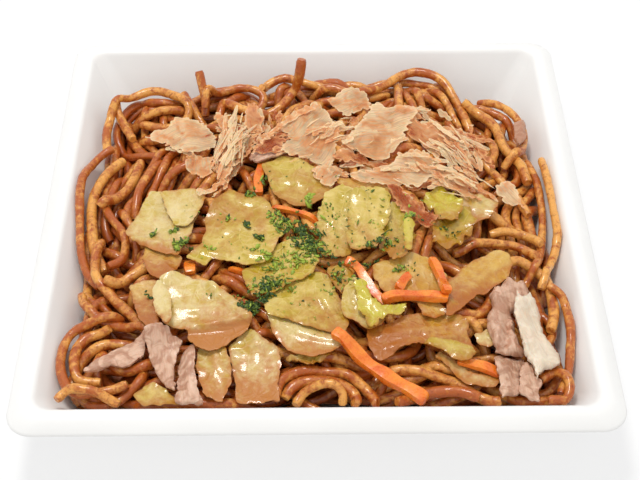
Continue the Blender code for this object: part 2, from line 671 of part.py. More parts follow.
def main():
    """Builds the tray, the heap and every topping from the lowest to the highest."""
    clear_scene()
    ground = Ground()
    tray_points, tray_faces = make_tray()
    tray_table = np.array(tray_points)
    ground.pile(tray_table[:, :2], tray_table[:, 2], triangles_of(tray_faces))
    ground.pile(*make_heap())
    lay_front_leaves(ground)
    lay_left_pork(ground)
    lay_front_left(ground)
    lay_centre_leaves(ground)
    lay_left_leaves(ground)
    lay_back_leaves(ground)
    lay_right_leaves(ground)
    lay_right_sticks(ground)
    lay_right_pork(ground)
    lay_back_pork(ground)
    lay_flakes(ground)


main()
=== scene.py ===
"""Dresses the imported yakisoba: noodles laid strand by strand, soft toppings, fish flakes, seaweed.

Lengths and places in this file are in millimetres, and MM turns them into metres where a mesh,
a light or the camera is made. +Z is up and the front of the tray is at -Y.
"""

from __future__ import annotations

import logging
import math
from dataclasses import dataclass, field
from enum import Enum
from typing import Callable

import bpy
import numpy as np
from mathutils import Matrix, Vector
from mathutils.geometry import delaunay_2d_cdt

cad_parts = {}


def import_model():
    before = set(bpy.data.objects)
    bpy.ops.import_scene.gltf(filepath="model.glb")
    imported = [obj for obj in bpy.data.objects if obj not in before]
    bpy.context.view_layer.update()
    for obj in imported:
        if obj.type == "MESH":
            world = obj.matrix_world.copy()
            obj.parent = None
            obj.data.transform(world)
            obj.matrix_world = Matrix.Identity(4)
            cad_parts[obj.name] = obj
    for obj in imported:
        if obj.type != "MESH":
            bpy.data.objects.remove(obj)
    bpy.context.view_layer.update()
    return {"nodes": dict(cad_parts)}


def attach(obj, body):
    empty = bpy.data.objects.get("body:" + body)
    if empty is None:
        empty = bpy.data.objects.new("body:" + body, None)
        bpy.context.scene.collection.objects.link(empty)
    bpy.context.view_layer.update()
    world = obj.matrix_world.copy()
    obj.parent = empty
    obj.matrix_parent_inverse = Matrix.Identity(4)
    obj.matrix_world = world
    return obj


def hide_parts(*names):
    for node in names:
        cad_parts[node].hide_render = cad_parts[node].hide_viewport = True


LOG = logging.getLogger("yakisoba")
MM = 0.001
BODY = "root"
CRISP = 60.0  # edges of a topping that turn by more degrees than this stay sharp
INSIDE = 74.6  # half the width that the toppings keep within
WALL_FOOT = (66.0, 4.0)  # half width and height where the tray's inner wall starts
WALL_SLOPE = 0.602  # how much half the width grows with height
Array = np.ndarray
Material = bpy.types.Material
Socket = bpy.types.NodeSocket
Thing = bpy.types.Object
Surface = Callable[[Array, Array], Array]
Marks = dict[str, Array]
Shape = tuple[Array, Array, Marks]
Colour = tuple[float, float, float]
Spot = tuple[float, float]
Outline = tuple[Spot, ...]


# ======== noise, curves, height field


def rolling_noise(seed: int, spacing: float) -> Surface:
    """A smooth random surface.

    Args:
        seed: Which surface it is.
        spacing: Distance between its knots.

    Returns:
        A function of x and y with values between -1 and 1.
    """
    reach = 125.0
    count = int(2 * reach / spacing) + 4
    knots = np.random.default_rng(seed).uniform(-1.0, 1.0, (count, count))

    def value(x: Array, y: Array) -> Array:
        """Reads the surface at each point."""
        across = np.clip((np.asarray(x) + reach) / spacing, 0, count - 2.001)
        along = np.clip((np.asarray(y) + reach) / spacing, 0, count - 2.001)
        j = across.astype(int)
        i = along.astype(int)
        u = across - j
        v = along - i
        u = u * u * (3 - 2 * u)
        v = v * v * (3 - 2 * v)
        near = knots[i, j] * (1 - u) + knots[i, j + 1] * u
        far = knots[i + 1, j] * (1 - u) + knots[i + 1, j + 1] * u
        return near * (1 - v) + far * v

    return value


def smooth_route(knots: Array, step: float) -> Array:
    """An evenly spaced smooth line through knots.

    Args:
        knots: One row for each knot.
        step: Distance between the points of the line.

    Returns:
        The points of the line.
    """
    knots = np.asarray(knots, dtype=float)
    knots = np.concatenate([2 * knots[:1] - knots[1:2], knots, 2 * knots[-1:] - knots[-2:-1]])
    dense = []
    for a, b, c, d in zip(knots, knots[1:], knots[2:], knots[3:]):
        for t in np.arange(16) / 16.0:
            dense.append(0.5 * (2 * b + (c - a) * t + (2 * a - 5 * b + 4 * c - d) * t ** 2
                                + (3 * b - a - 3 * c + d) * t ** 3))
    dense.append(knots[-2])
    dense = np.array(dense)
    run = np.concatenate([[0.0], np.cumsum(np.linalg.norm(np.diff(dense, axis=0), axis=1))])
    count = max(3, int(round(run[-1] / step)))
    marks = np.linspace(0.0, run[-1], count + 1)
    return np.stack([np.interp(marks, run, part) for part in dense.T], axis=1)


def soft_loop(corners: Array, step: float) -> Array:
    """An evenly spaced closed line along straight sides, with its corners softened.

    Args:
        corners: One row for each corner.
        step: Distance between the points of the line.

    Returns:
        The points of the line, without repeating the first.
    """
    loop = np.concatenate([corners, corners[:1]]).astype(float)
    run = np.concatenate([[0.0], np.cumsum(np.linalg.norm(np.diff(loop, axis=0), axis=1))])
    count = max(8, int(round(run[-1] / step)))
    marks = np.arange(count) * run[-1] / count
    line = np.stack([np.interp(marks, run, loop[:, k]) for k in (0, 1)], axis=1)
    return 0.5 * line + 0.25 * (np.roll(line, 1, axis=0) + np.roll(line, -1, axis=0))


def sideways(line: Array) -> Array:
    """The level direction to the left of a line at each of its points."""
    ahead = np.gradient(line[:, :2], axis=0)
    ahead /= np.maximum(np.linalg.norm(ahead, axis=1, keepdims=True), 1e-9)
    return np.stack([-ahead[:, 1], ahead[:, 0]], axis=1)


class HeightField:
    """The highest surface so far on a square grid, on which the next thing comes to rest."""

    HALF = 88.0
    CELL = 0.5
    EMPTY = -50.0

    def __init__(self, level: float = EMPTY) -> None:
        """Starts flat at a level."""
        self.count = int(2 * self.HALF / self.CELL)
        self.top = np.full((self.count, self.count), float(level))
        middles = (np.arange(self.count) + 0.5) * self.CELL - self.HALF
        self.x, self.y = np.meshgrid(middles, middles)

    def cell(self, x: Array, y: Array) -> tuple[Array, Array]:
        """Row and column of the cell that holds each point."""
        row = np.clip((np.asarray(y) + self.HALF) / self.CELL, 0, self.count - 1).astype(int)
        column = np.clip((np.asarray(x) + self.HALF) / self.CELL, 0, self.count - 1).astype(int)
        return row, column

    def window(self, row: int, column: int, reach: int) -> tuple[slice, slice]:
        """The cells within reach of one cell."""
        return (slice(max(row - reach, 0), row + reach + 1),
                slice(max(column - reach, 0), column + reach + 1))

    def at(self, x: Array, y: Array) -> Array:
        """Height at each point."""
        return self.top[self.cell(x, y)]

    def around(self, x: Array, y: Array, reach: float) -> Array:
        """Greatest height within reach of each point."""
        best = self.at(x, y)
        for turn in np.arange(8) * math.pi / 4:
            shifted = self.at(x + reach * math.cos(turn), y + reach * math.sin(turn))
            best = np.maximum(best, shifted)
        return best

    def evened(self, reach: float) -> "HeightField":
        """A copy in which each cell has the mean height within reach along x and y."""
        made = HeightField()
        made.top = self.top.copy()
        width = 2 * int(round(reach / self.CELL)) + 1
        for axis in (0, 1):
            sums = np.cumsum(made.top, axis=axis)
            made.top = (sums - np.roll(sums, width, axis=axis)) / width
            made.top = np.roll(made.top, -(width // 2), axis=axis)
        return made

    def raise_points(self, points: Array) -> None:
        """Lifts the field to each point."""
        np.maximum.at(self.top, self.cell(points[:, 0], points[:, 1]), points[:, 2])

    def raise_mesh(self, points: Array, triangles: Array) -> None:
        """Lifts the field to a mesh.

        Args:
            points: Points of the mesh, one row each.
            triangles: Rows of three point numbers.
        """
        corners = points[triangles]
        sides = np.linalg.norm(corners - np.roll(corners, 1, axis=1), axis=2).max(axis=1)
        parts = np.clip(np.ceil(sides / (0.7 * self.CELL)), 1, 500).astype(int)
        for count in np.unique(parts):
            group = corners[parts == count]
            i, j = np.meshgrid(np.arange(count + 1), np.arange(count + 1))
            inside = i + j <= count
            b = (i[inside] / count)[None, :, None]
            c = (j[inside] / count)[None, :, None]
            spots = (group[:, None, 0] * (1 - b - c) + group[:, None, 1] * b
                     + group[:, None, 2] * c)
            self.raise_points(spots.reshape(-1, 3))

    def raise_tube(self, line: Array, girth: Array) -> None:
        """Lifts the field to a round strand."""
        reach = np.arange(-4, 5) * self.CELL
        dx, dy = (part.ravel() for part in np.meshgrid(reach, reach))
        far = np.hypot(dx, dy)
        room = girth[:, None] ** 2 - far[None, :] ** 2
        keep = room > 0
        z = line[:, 2:3] + np.sqrt(np.maximum(room, 0.0))
        x = line[:, 0:1] + dx[None, :]
        y = line[:, 1:2] + dy[None, :]
        self.raise_points(np.stack([x[keep], y[keep], z[keep]], axis=1))


@dataclass
class FrameMesh:
    """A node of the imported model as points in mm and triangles, with its doubles merged."""

    points: Array
    triangles: Array

    @classmethod
    def read(cls, node: Thing) -> "FrameMesh":
        """Reads a node's mesh."""
        mesh = node.data
        flat = np.zeros(len(mesh.vertices) * 3)
        mesh.vertices.foreach_get("co", flat)
        mesh.calc_loop_triangles()
        corners = np.zeros(len(mesh.loop_triangles) * 3, dtype=np.int64)
        mesh.loop_triangles.foreach_get("vertices", corners)
        places = np.round(flat.reshape(-1, 3) / MM, 3)
        unique, back = np.unique(places, axis=0, return_inverse=True)
        return cls(unique, back.ravel()[corners].reshape(-1, 3))

    def upper(self) -> Array:
        """The triangles that face up."""
        a, b, c = (self.points[self.triangles[:, k]] for k in range(3))
        normal = np.cross(b - a, c - a)
        upward = normal[:, 2] / np.maximum(np.linalg.norm(normal, axis=1), 1e-12)
        return self.triangles[upward > 0.03]

    def outline(self) -> Array:
        """The border of the upper face as seen from above, anticlockwise."""
        edges = {(int(t[k]), int(t[(k + 1) % 3])) for t in self.upper() for k in range(3)}
        follow = {here: after for here, after in sorted(edges) if (after, here) not in edges}
        loops = []
        while follow:
            loop = [min(follow)]
            while loop[-1] in follow:
                loop.append(follow.pop(loop[-1]))
            loops.append(self.points[loop[:-1]][:, :2])
        return max(loops, key=lambda loop: np.ptp(loop[:, 0]) * np.ptp(loop[:, 1]))


# ======== meshes


def stand(name: str, data: bpy.types.ID) -> Thing:
    """Makes an object of a mesh, lamp or camera, and links it to the scene."""
    made = bpy.data.objects.new(name, data)
    bpy.context.scene.collection.objects.link(made)
    return made


def make_mesh(name: str, points: Array, faces: Array | list, marks: Marks | None = None,
              crisp: float = 180.0, edges: list | tuple = ()) -> Thing:
    """Makes a smooth mesh object from points in mm.

    Args:
        name: Name of the object and its mesh.
        points: One row of x, y and z for each point.
        faces: Point numbers of each face, anticlockwise from outside.
        marks: Values for each point, kept as attributes for the materials and the node trees.
        crisp: Edges that turn by more than this many degrees stay sharp.
        edges: Pairs of point numbers, for lines that have no faces.

    Returns:
        The object, linked to the scene.
    """
    mesh = bpy.data.meshes.new(name)
    rows = faces.tolist() if isinstance(faces, Array) else faces
    mesh.from_pydata((np.asarray(points) * MM).tolist(), edges, rows)
    for key, values in (marks or {}).items():
        kind, part = ("FLOAT", "value") if values.ndim == 1 else ("FLOAT_VECTOR", "vector")
        layer = mesh.attributes.new(key, kind, "POINT")
        layer.data.foreach_set(part, values.astype(np.float32).ravel())
    mesh.shade_smooth()
    if crisp < 180.0:
        mesh.set_sharp_from_angle(angle=math.radians(crisp))
    return stand(name, mesh)


def roughen(piece: Thing, depth: float, spacing: float, seed: int) -> None:
    """Moves a piece's points in and out by up to depth, so that its surface is uneven."""
    mesh = piece.data
    places, normals = np.zeros((2, len(mesh.vertices) * 3))
    mesh.vertices.foreach_get("co", places)
    mesh.vertex_normals.foreach_get("vector", normals)
    places, normals = places.reshape(-1, 3) / MM, normals.reshape(-1, 3)
    x, y, z = places.T
    wave = rolling_noise(seed, spacing)(x + 0.7 * z, y - 0.7 * z)
    wave += 0.6 * rolling_noise(seed + 1, 0.4 * spacing)(x - 0.9 * z, y + 0.8 * z)
    places += normals * depth * wave[:, None] / 1.6
    mesh.vertices.foreach_set("co", (places * MM).ravel())
    mesh.update()


def adopt(piece: Thing, finish: Material,
          replaced: tuple[str, ...]) -> None:
    """Dresses a piece and lets it ride on the body and stand for its nodes."""
    piece.data.materials.clear()
    piece.data.materials.append(finish)
    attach(piece, BODY)
    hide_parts(*replaced)
    LOG.info("%s: %d faces", piece.name, len(piece.data.polygons))


@dataclass
class Solids:
    """Several closed solids gathered into one mesh."""

    points: list[Array] = field(default_factory=list)
    faces: list[Array] = field(default_factory=list)
    marks: dict[str, list[Array]] = field(default_factory=dict)
    count: int = 0

    def add(self, points: Array, faces: Array, marks: Marks) -> None:
        """Adds one solid."""
        self.points.append(points)
        self.faces.append(faces + self.count)
        for key, values in marks.items():
            self.marks.setdefault(key, []).append(values)
        self.count += len(points)

    def make(self, name: str) -> Thing:
        """Makes the mesh object."""
        marks = {key: np.concatenate(values) for key, values in self.marks.items()}
        return make_mesh(name, np.concatenate(self.points), np.concatenate(self.faces), marks,
                         CRISP)


class SheetNet:
    """A fine flat net of triangles inside an outline, for a leaf, a slice or a shaving."""

    def __init__(self, outline: Array, spacing: float, jag: float, seed: int, tear: float) -> None:
        """Cuts the net.

        Args:
            outline: Corners of the shape as seen from above.
            spacing: Distance between the points of the net.
            jag: How far the rim wanders in and out.
            seed: Which rim it gets.
            tear: Depth of the nicks in the rim.
        """
        outline = np.clip(outline, -INSIDE, INSIDE)
        rim = soft_loop(outline, 0.8 * spacing)
        ahead = np.roll(rim, -1, axis=0) - np.roll(rim, 1, axis=0)
        ahead /= np.maximum(np.linalg.norm(ahead, axis=1, keepdims=True), 1e-9)
        out = np.stack([ahead[:, 1], -ahead[:, 0]], axis=1)
        wide, fine = rolling_noise(seed, 3.5), rolling_noise(seed + 1, 1.2)
        wander = jag * (wide(rim[:, 0], rim[:, 1]) + 0.8 * fine(rim[:, 0], rim[:, 1]))
        nick = rolling_noise(seed + 7, 1.0)(rim[:, 0], rim[:, 1])
        wander -= tear * np.clip((nick - 0.15) / 0.6, 0.0, 1.0)
        rim = rim + out * wander[:, None]
        low, high = rim.min(axis=0), rim.max(axis=0)
        across = np.arange(low[0], high[0], spacing)
        along = np.arange(low[1], high[1], spacing * 0.866)
        x, y = np.meshgrid(across, along)
        x = x + (np.arange(len(along)) % 2)[:, None] * spacing / 2
        inner = np.stack([x.ravel(), y.ravel()], axis=1)
        inner = inner[self.inside(inner, rim)]
        gaps = np.linalg.norm(inner[:, None] - rim[None], axis=2).min(axis=1)
        inner = inner[gaps > 0.6 * spacing]
        seeds = [Vector(p) for p in np.concatenate([rim, inner])]
        made = delaunay_2d_cdt(seeds, [], [list(range(len(rim)))], 1, 1e-4)
        self.xy = np.array([tuple(v) for v in made[0]])
        faces = np.array([f for f in made[2] if len(f) == 3])
        a, b, c = (self.xy[faces[:, k]] for k in range(3))
        turned = (b[:, 0] - a[:, 0]) * (c[:, 1] - a[:, 1]) < (b[:, 1] - a[:, 1]) * (c[:, 0] - a[:, 0])
        faces[turned] = faces[turned][:, ::-1]
        used = np.unique(faces)
        self.xy = self.xy[used]
        self.faces = np.searchsorted(used, faces)
        pairs = np.concatenate([self.faces[:, [0, 1]], self.faces[:, [1, 2]], self.faces[:, [2, 0]]])
        count = len(self.xy)
        once = ~np.isin(pairs @ (count, 1), pairs @ (1, count))
        self.border = pairs[once]
        self.links = np.unique(np.sort(pairs, axis=1), axis=0)
        edge = self.xy[np.unique(self.border)]
        self.rim = np.linalg.norm(self.xy[:, None] - edge[None], axis=2).min(axis=1)
        self.middle = self.xy.mean(axis=0)
        self.size = float(np.sqrt(np.mean(np.sum((self.xy - self.middle) ** 2, axis=1))))

    @staticmethod
    def inside(points: Array, loop: Array) -> Array:
        """True for the points inside a loop."""
        after = np.roll(loop, -1, axis=0)
        y = points[:, 1:2]
        crosses = (loop[None, :, 1] > y) != (after[None, :, 1] > y)
        rise = np.where(np.abs(after[:, 1] - loop[:, 1]) < 1e-12, 1e-12, after[:, 1] - loop[:, 1])
        at_x = loop[None, :, 0] + (y - loop[None, :, 1]) / rise * (after[:, 0] - loop[:, 0])
        return (crosses & (points[:, 0:1] < at_x)).sum(axis=1) % 2 == 1

    def even(self, values: Array) -> Array:
        """Each point's value averaged with those of the points it is linked to."""
        total = values.copy()
        near = np.ones(len(values))
        for here, there in (self.links.T, self.links.T[::-1]):
            np.add.at(total, here, values[there])
            np.add.at(near, here, 1.0)
        return total / near

    def rest(self, ground: HeightField, stiffness: int) -> Array:
        """Height at which each point lies on the ground.

        Args:
            ground: What the sheet is laid on.
            stiffness: How far the sheet bridges hollows.

        Returns:
            The height of the sheet's underside at each point.
        """
        x, y = self.xy.T
        need = ground.around(x, y, 0.6) + 0.08
        z = need.copy()
        for _ in range(stiffness):
            z = np.maximum(need, self.even(z))
        return self.even(z)

    def solid(self, under: Array, thick: float, relief: Array, marks: Marks) -> Shape:
        """Closes the net into a solid with an upright rim, thinner than its middle.

        Args:
            under: Height of the underside.
            thick: Thickness away from the rim.
            relief: Height added to the top side.
            marks: Values at each point of the net.

        Returns:
            Points, faces and marks of the solid.
        """
        share = np.clip(self.rim / (1.5 * thick), 0.0, 1.0)
        share = np.sqrt(1.0 - (1.0 - share) ** 2)
        body = thick * (0.55 + 0.45 * share)
        low = under + 0.5 * (thick - body)
        upper = np.column_stack([self.xy, low + body + relief * share])
        lower = np.column_stack([self.xy, low])
        a, b = self.border.T
        count = len(self.xy)
        faces = [self.faces, self.faces[:, ::-1] + count, np.stack([b, a, a + count], axis=1),
                 np.stack([b, a + count, b + count], axis=1)]
        doubled = {key: np.concatenate([values, values]) for key, values in marks.items()}
        return np.concatenate([upper, lower]), np.concatenate(faces), doubled


# ======== node trees


class Bench:
    """Short calls for building a node tree."""

    PREFIX: str
    tree: bpy.types.NodeTree

    def feed(self, socket: Socket, value: object) -> None:
        """Links a socket to another node's output, or sets its value."""
        if isinstance(value, Socket):
            self.tree.links.new(value, socket)
        elif isinstance(value, tuple) and socket.type == "RGBA":
            socket.default_value = (*value, 1.0)
        else:
            socket.default_value = value

    def node(self, kind: str, output: str | int, feeds: dict[str | int, object],
             **settings: object) -> Socket:
        """Adds a node, sets it up, feeds its inputs and returns one of its outputs."""
        made = self.tree.nodes.new(self.PREFIX + kind)
        for key, value in settings.items():
            setattr(made, key, value)
        for key, value in feeds.items():
            self.feed(made.inputs[key], value)
        return made.outputs[output]


class Wiring(Bench):
    """A material's node tree, with a shader and object coordinates."""

    PREFIX = "ShaderNode"

    def __init__(self, name: str) -> None:
        """Makes the material."""
        self.material = bpy.data.materials.new(name)
        self.material.use_nodes = True
        self.tree = self.material.node_tree
        self.shader = self.tree.nodes["Principled BSDF"]
        self.place = self.node("TexCoord", "Object", {})

    def noise(self, size: float, detail: float = 3.0, twist: float = 0.0) -> Socket:
        """Noise whose features are about size mm across."""
        return self.node("TexNoise", "Fac", {"Vector": self.place, "Scale": 1.0 / (size * MM),
                                             "Detail": detail, "Distortion": twist})

    def streaks(self, wide: float, long: float) -> Socket:
        """Noise drawn out along a piece's own direction, from its along and across marks."""
        ends = {"X": self.scaled(self.mark("along"), 1.0 / long),
                "Y": self.scaled(self.mark("across"), 1.0 / wide)}
        joined = self.node("CombineXYZ", "Vector", ends)
        return self.node("TexNoise", "Fac", {"Vector": joined, "Scale": 1.0, "Detail": 4.0})

    def web(self, size: float) -> Socket:
        """Distance to the borders of cells about size mm across."""
        return self.node("TexVoronoi", "Distance", {"Vector": self.place,
                         "Scale": 1.0 / (size * MM)}, feature="DISTANCE_TO_EDGE")

    def mark(self, key: str) -> Socket:
        """A point attribute of the mesh."""
        return self.node("Attribute", "Fac", {}, attribute_name=key)

    def ramp(self, value: Socket, low: float, high: float) -> Socket:
        """0 below low, 1 above high, smooth between them."""
        return self.node("MapRange", "Result", {"Value": value, "From Min": low,
                         "From Max": high}, interpolation_type="SMOOTHSTEP")

    def span(self, value: Socket, low: float, high: float) -> Socket:
        """Spreads noise around its middle to run from low to high."""
        return self.node("MapRange", "Result", {"Value": value, "From Min": 0.3,
                         "From Max": 0.7, "To Min": low, "To Max": high})

    def math(self, kind: str, first: object, second: object) -> Socket:
        """One sum on two values."""
        return self.node("Math", "Value", {0: first, 1: second}, operation=kind)

    def add(self, *values: object) -> Socket:
        """The sum of several values."""
        total = values[0]
        for value in values[1:]:
            total = self.math("ADD", total, value)
        return total

    def scaled(self, value: object, share: float) -> Socket:
        """A share of a value."""
        return self.math("MULTIPLY", value, share)

    def mix(self, share: object, first: object, second: object) -> Socket:
        """Mixes two colours."""
        return self.node("Mix", 2, {"Factor": share, 6: first, 7: second}, data_type="RGBA")

    def bump(self, height: Socket, depth: float, under: Socket | None = None) -> Socket:
        """Relief of a depth in mm, over another relief if there is one."""
        below = {} if under is None else {"Normal": under}
        return self.node("Bump", "Normal", {"Distance": depth * MM, "Height": height, **below})

    def set(self, **values: object) -> Material:
        """Sets or links the shader's inputs, with _ for a space, and returns the material."""
        for key, value in values.items():
            self.feed(self.shader.inputs[key.replace("_", " ")], value)
        return self.material


class GeometryTree(Bench):
    """A Geometry Nodes tree with named inputs, which ends in real geometry with a material."""

    PREFIX = "GeometryNode"

    def __init__(self, name: str, inputs: dict[str, str]) -> None:
        """Starts a tree.

        Args:
            name: Its name.
            inputs: Socket type of each named input after the geometry.
        """
        self.tree = bpy.data.node_groups.new(name, "GeometryNodeTree")
        self.tree.is_modifier = True
        face = self.tree.interface
        face.new_socket("Geometry", in_out="INPUT", socket_type="NodeSocketGeometry")
        self.names = {key: face.new_socket(key, in_out="INPUT", socket_type=kind).identifier
                      for key, kind in inputs.items()}
        face.new_socket("Geometry", in_out="OUTPUT", socket_type="NodeSocketGeometry")
        self.start = self.tree.nodes.new("NodeGroupInput").outputs

    def mark(self, key: str, kind: str) -> Socket:
        """A point attribute of the mesh that the tree starts from."""
        return self.node("InputNamedAttribute", "Attribute", {"Name": key}, data_type=kind)

    def end(self, geometry: Socket, finish: Material) -> None:
        """Makes the instances real, sets the material and ends the tree."""
        real = self.node("RealizeInstances", "Geometry", {"Geometry": geometry})
        dressed = self.node("SetMaterial", "Geometry", {"Geometry": real, "Material": finish})
        self.feed(self.tree.nodes.new("NodeGroupOutput").inputs["Geometry"], dressed)

    def bake(self, source: Thing, name: str, **values: object) -> Thing:
        """Runs the tree on an object and keeps the result as a plain mesh.

        Args:
            source: The object that the tree starts from, which is removed.
            name: Name of the result.
            values: Value of each named input.

        Returns:
            The result, with no modifier left.
        """
        modifier = source.modifiers.new(name, "NODES")
        modifier.node_group = self.tree
        for key, value in values.items():
            modifier[self.names[key]] = value
        graph = bpy.context.evaluated_depsgraph_get()
        mesh = bpy.data.meshes.new_from_object(source.evaluated_get(graph), depsgraph=graph)
        mesh.name = name
        bpy.data.objects.remove(source, do_unlink=True)
        return stand(name, mesh)


class PathTree(GeometryTree):
    """The tree that turns mesh polylines into closed round strands."""

    def __init__(self, name: str, finish: Material) -> None:
        """Builds the tree."""
        super().__init__(name, {"Sides": "NodeSocketInt", "Roundness": "NodeSocketFloat"})
        girth = self.mark("girth", "FLOAT")
        line = self.node("MeshToCurve", "Curve", {"Mesh": self.start["Geometry"]})
        line = self.node("SetCurveRadius", "Curve", {"Curve": line, "Radius": girth})
        circle = self.node("CurvePrimitiveCircle", "Curve", {"Resolution": self.start["Sides"],
                           "Radius": self.start["Roundness"]})
        swept = self.node("CurveToMesh", "Mesh", {"Curve": line, "Profile Curve": circle,
                          "Scale": girth, "Fill Caps": True})
        self.end(self.node("SetShadeSmooth", "Geometry", {"Geometry": swept}), finish)


class ScatterTree(GeometryTree):
    """The tree that sets a chip on each point, leaning and stretched as the point says."""

    def __init__(self, name: str, finish: Material) -> None:
        """Builds the tree."""
        super().__init__(name, {"Chip": "NodeSocketObject"})
        chip = self.node("ObjectInfo", "Geometry", {"Object": self.start["Chip"]})
        dots = self.node("MeshToPoints", "Points", {"Mesh": self.start["Geometry"]})
        lean, spread = (self.mark(key, "FLOAT_VECTOR") for key in ("lean", "spread"))
        self.end(self.node("InstanceOnPoints", "Instances", {
            "Points": dots, "Instance": chip, "Rotation": lean, "Scale": spread}), finish)


# ======== finishes


@dataclass(frozen=True)
class FoamFinish:
    """White foamed plastic with a faint cell texture and a soft sheen."""

    colour: Colour = (0.86, 0.855, 0.838)
    shaded: Colour = (0.83, 0.825, 0.808)

    def build(self) -> Material:
        """Makes the material."""
        look = Wiring("foam_white")
        cells = look.noise(0.9, 2.0)
        cloud = look.ramp(look.noise(30.0, 2.0), 0.3, 0.7)
        return look.set(
            Base_Color=look.mix(cloud, self.colour, self.shaded), Roughness=look.span(cells, 0.34, 0.5),
            Specular_IOR_Level=0.4, Subsurface_Weight=0.1, Subsurface_Radius=(0.003, 0.003, 0.003),
            Normal=look.bump(cells, 0.02))


@dataclass(frozen=True)
class NoodleFinish:
    """Wheat noodle stained with sauce: golden where it is bare, dark where sauce has pooled, and darkened as
    painted shade where it lies deep in the heap.
    """

    name: str
    bare: Colour = (0.80, 0.38, 0.08)
    stained: Colour = (0.45, 0.10, 0.010)
    # dark serves both the real specks and the painted shade of strands that lie deep in the heap.
    dark: Colour = (0.15, 0.016, 0.002)
    # Added to the stain: above 0 it gives a darker copy as painted shade, below 0 a lighter copy as painted
    # light.
    shade_shift: float = 0.0

    def build(self) -> Material:
        """Makes the material."""
        look = Wiring(self.name)
        patch = look.noise(5.0, 4.0, 1.0)
        grain = look.noise(1.4, 5.0, 0.8)
        speck = look.noise(0.45, 3.0, 0.4)
        stain = look.add(look.scaled(look.mark("tone"), 0.6), look.span(patch, -0.55, 0.55),
                           look.span(grain, -0.3, 0.3), self.shade_shift)
        colour = look.mix(look.ramp(stain, -0.15, 0.85), self.bare, self.stained)
        # shade joins real specks and grain with the deep mark, which is painted shade, partly standing for
        # pooled sauce.
        shade = look.add(look.scaled(look.ramp(grain, 0.5, 0.8), 0.45),
                           look.scaled(look.ramp(speck, 0.55, 0.75), 0.35), look.mark("deep"))
        colour = look.mix(look.math("MINIMUM", shade, 1.0), colour, self.dark)
        return look.set(
            Base_Color=colour, Roughness=look.span(grain, 0.24, 0.5), Specular_IOR_Level=0.3,
            Subsurface_Weight=0.12, Subsurface_Radius=(0.002, 0.0008, 0.0003), Coat_Weight=0.5,
            Coat_Roughness=0.1, Normal=look.bump(speck, 0.08, look.bump(grain, 0.25)))


class CoreFinish:
    """The wet-looking inside of the heap, seen only through the gaps, coloured dark as painted shade between
    the strands.
    """

    def build(self) -> Material:
        """Makes the material."""
        look = Wiring("heap_inside")
        lumps = look.noise(3.0, 4.0, 0.8)
        # These dark red-browns are painted shade for the depth of the heap.
        colour = look.mix(look.ramp(lumps, 0.35, 0.7), (0.28, 0.060, 0.008),
                            (0.46, 0.130, 0.020))
        return look.set(
            Base_Color=colour, Roughness=look.span(lumps, 0.3, 0.6), Specular_IOR_Level=0.25,
            Normal=look.bump(lumps, 0.8))


@dataclass(frozen=True)
class LeafFinish:
    """Cooked cabbage: pale rib, golden green blade, and brown where it took up the sauce and past its folds,
    where the brown is partly painted shade.
    """

    name: str
    pale: Colour
    green: Colour
    brown: Colour
    fresh: Colour = (0.55, 0.47, 0.028)

    def build(self) -> Material:
        """Makes the material."""
        look = Wiring(self.name)
        blotch = look.noise(5.0, 4.0, 1.2)
        smear = look.noise(7.0, 5.0, 1.0)
        fine = look.noise(0.45, 2.0)
        cells = look.noise(1.3, 4.0, 0.3)
        net = look.web(3.2)
        green = look.add(look.mark("green"), look.span(blotch, -0.5, 0.5))
        colour = look.mix(look.ramp(green, -0.2, 1.1), self.pale, self.green)
        colour = look.mix(look.ramp(green, 1.0, 1.7), colour, self.fresh)
        threads = look.math("MAXIMUM", look.mark("vein"), look.ramp(net, 0.09, 0.0))
        colour = look.mix(look.scaled(threads, 0.45), colour, self.pale)
        dots = look.scaled(look.ramp(fine, 0.56, 0.72), 0.2)
        colour = look.mix(dots, colour, self.brown)
        # The brown includes the folds' added stain, which is partly painted shade where a sheet turns down.
        brown_and_shade = look.add(look.mark("stain"), look.span(smear, -0.3, 0.3),
                          look.span(cells, -0.16, 0.16))
        colour = look.mix(look.scaled(look.ramp(brown_and_shade, 0.0, 1.1), 0.9), colour, self.brown)
        relief = look.bump(look.ramp(net, 0.16, 0.0), 0.08, look.bump(cells, 0.12))
        return look.set(
            Base_Color=colour, Roughness=look.span(cells, 0.28, 0.5), Specular_IOR_Level=0.35,
            Subsurface_Weight=0.2, Subsurface_Radius=(0.002, 0.0015, 0.0007), Coat_Weight=0.5,
            Coat_Roughness=0.1, Normal=look.bump(fine, 0.06, relief))


class CarrotFinish:
    """Cooked carrot with faint fibres along it."""

    def build(self) -> Material:
        """Makes the material."""
        look = Wiring("carrot_cooked")
        blotch = look.noise(4.0, 3.0, 0.4)
        fibre = look.noise(0.8, 3.0, 0.2)
        colour = look.mix(look.ramp(blotch, 0.3, 0.7), (0.90, 0.27, 0.022),
                            (0.74, 0.13, 0.008))
        colour = look.mix(look.scaled(look.ramp(fibre, 0.5, 0.8), 0.35), colour,
                            (0.96, 0.42, 0.07))
        return look.set(
            Base_Color=colour, Roughness=look.span(fibre, 0.2, 0.42), Subsurface_Weight=0.3,
            Subsurface_Radius=(0.003, 0.001, 0.0004), Coat_Weight=0.3, Coat_Roughness=0.12,
            Normal=look.bump(fibre, 0.08))


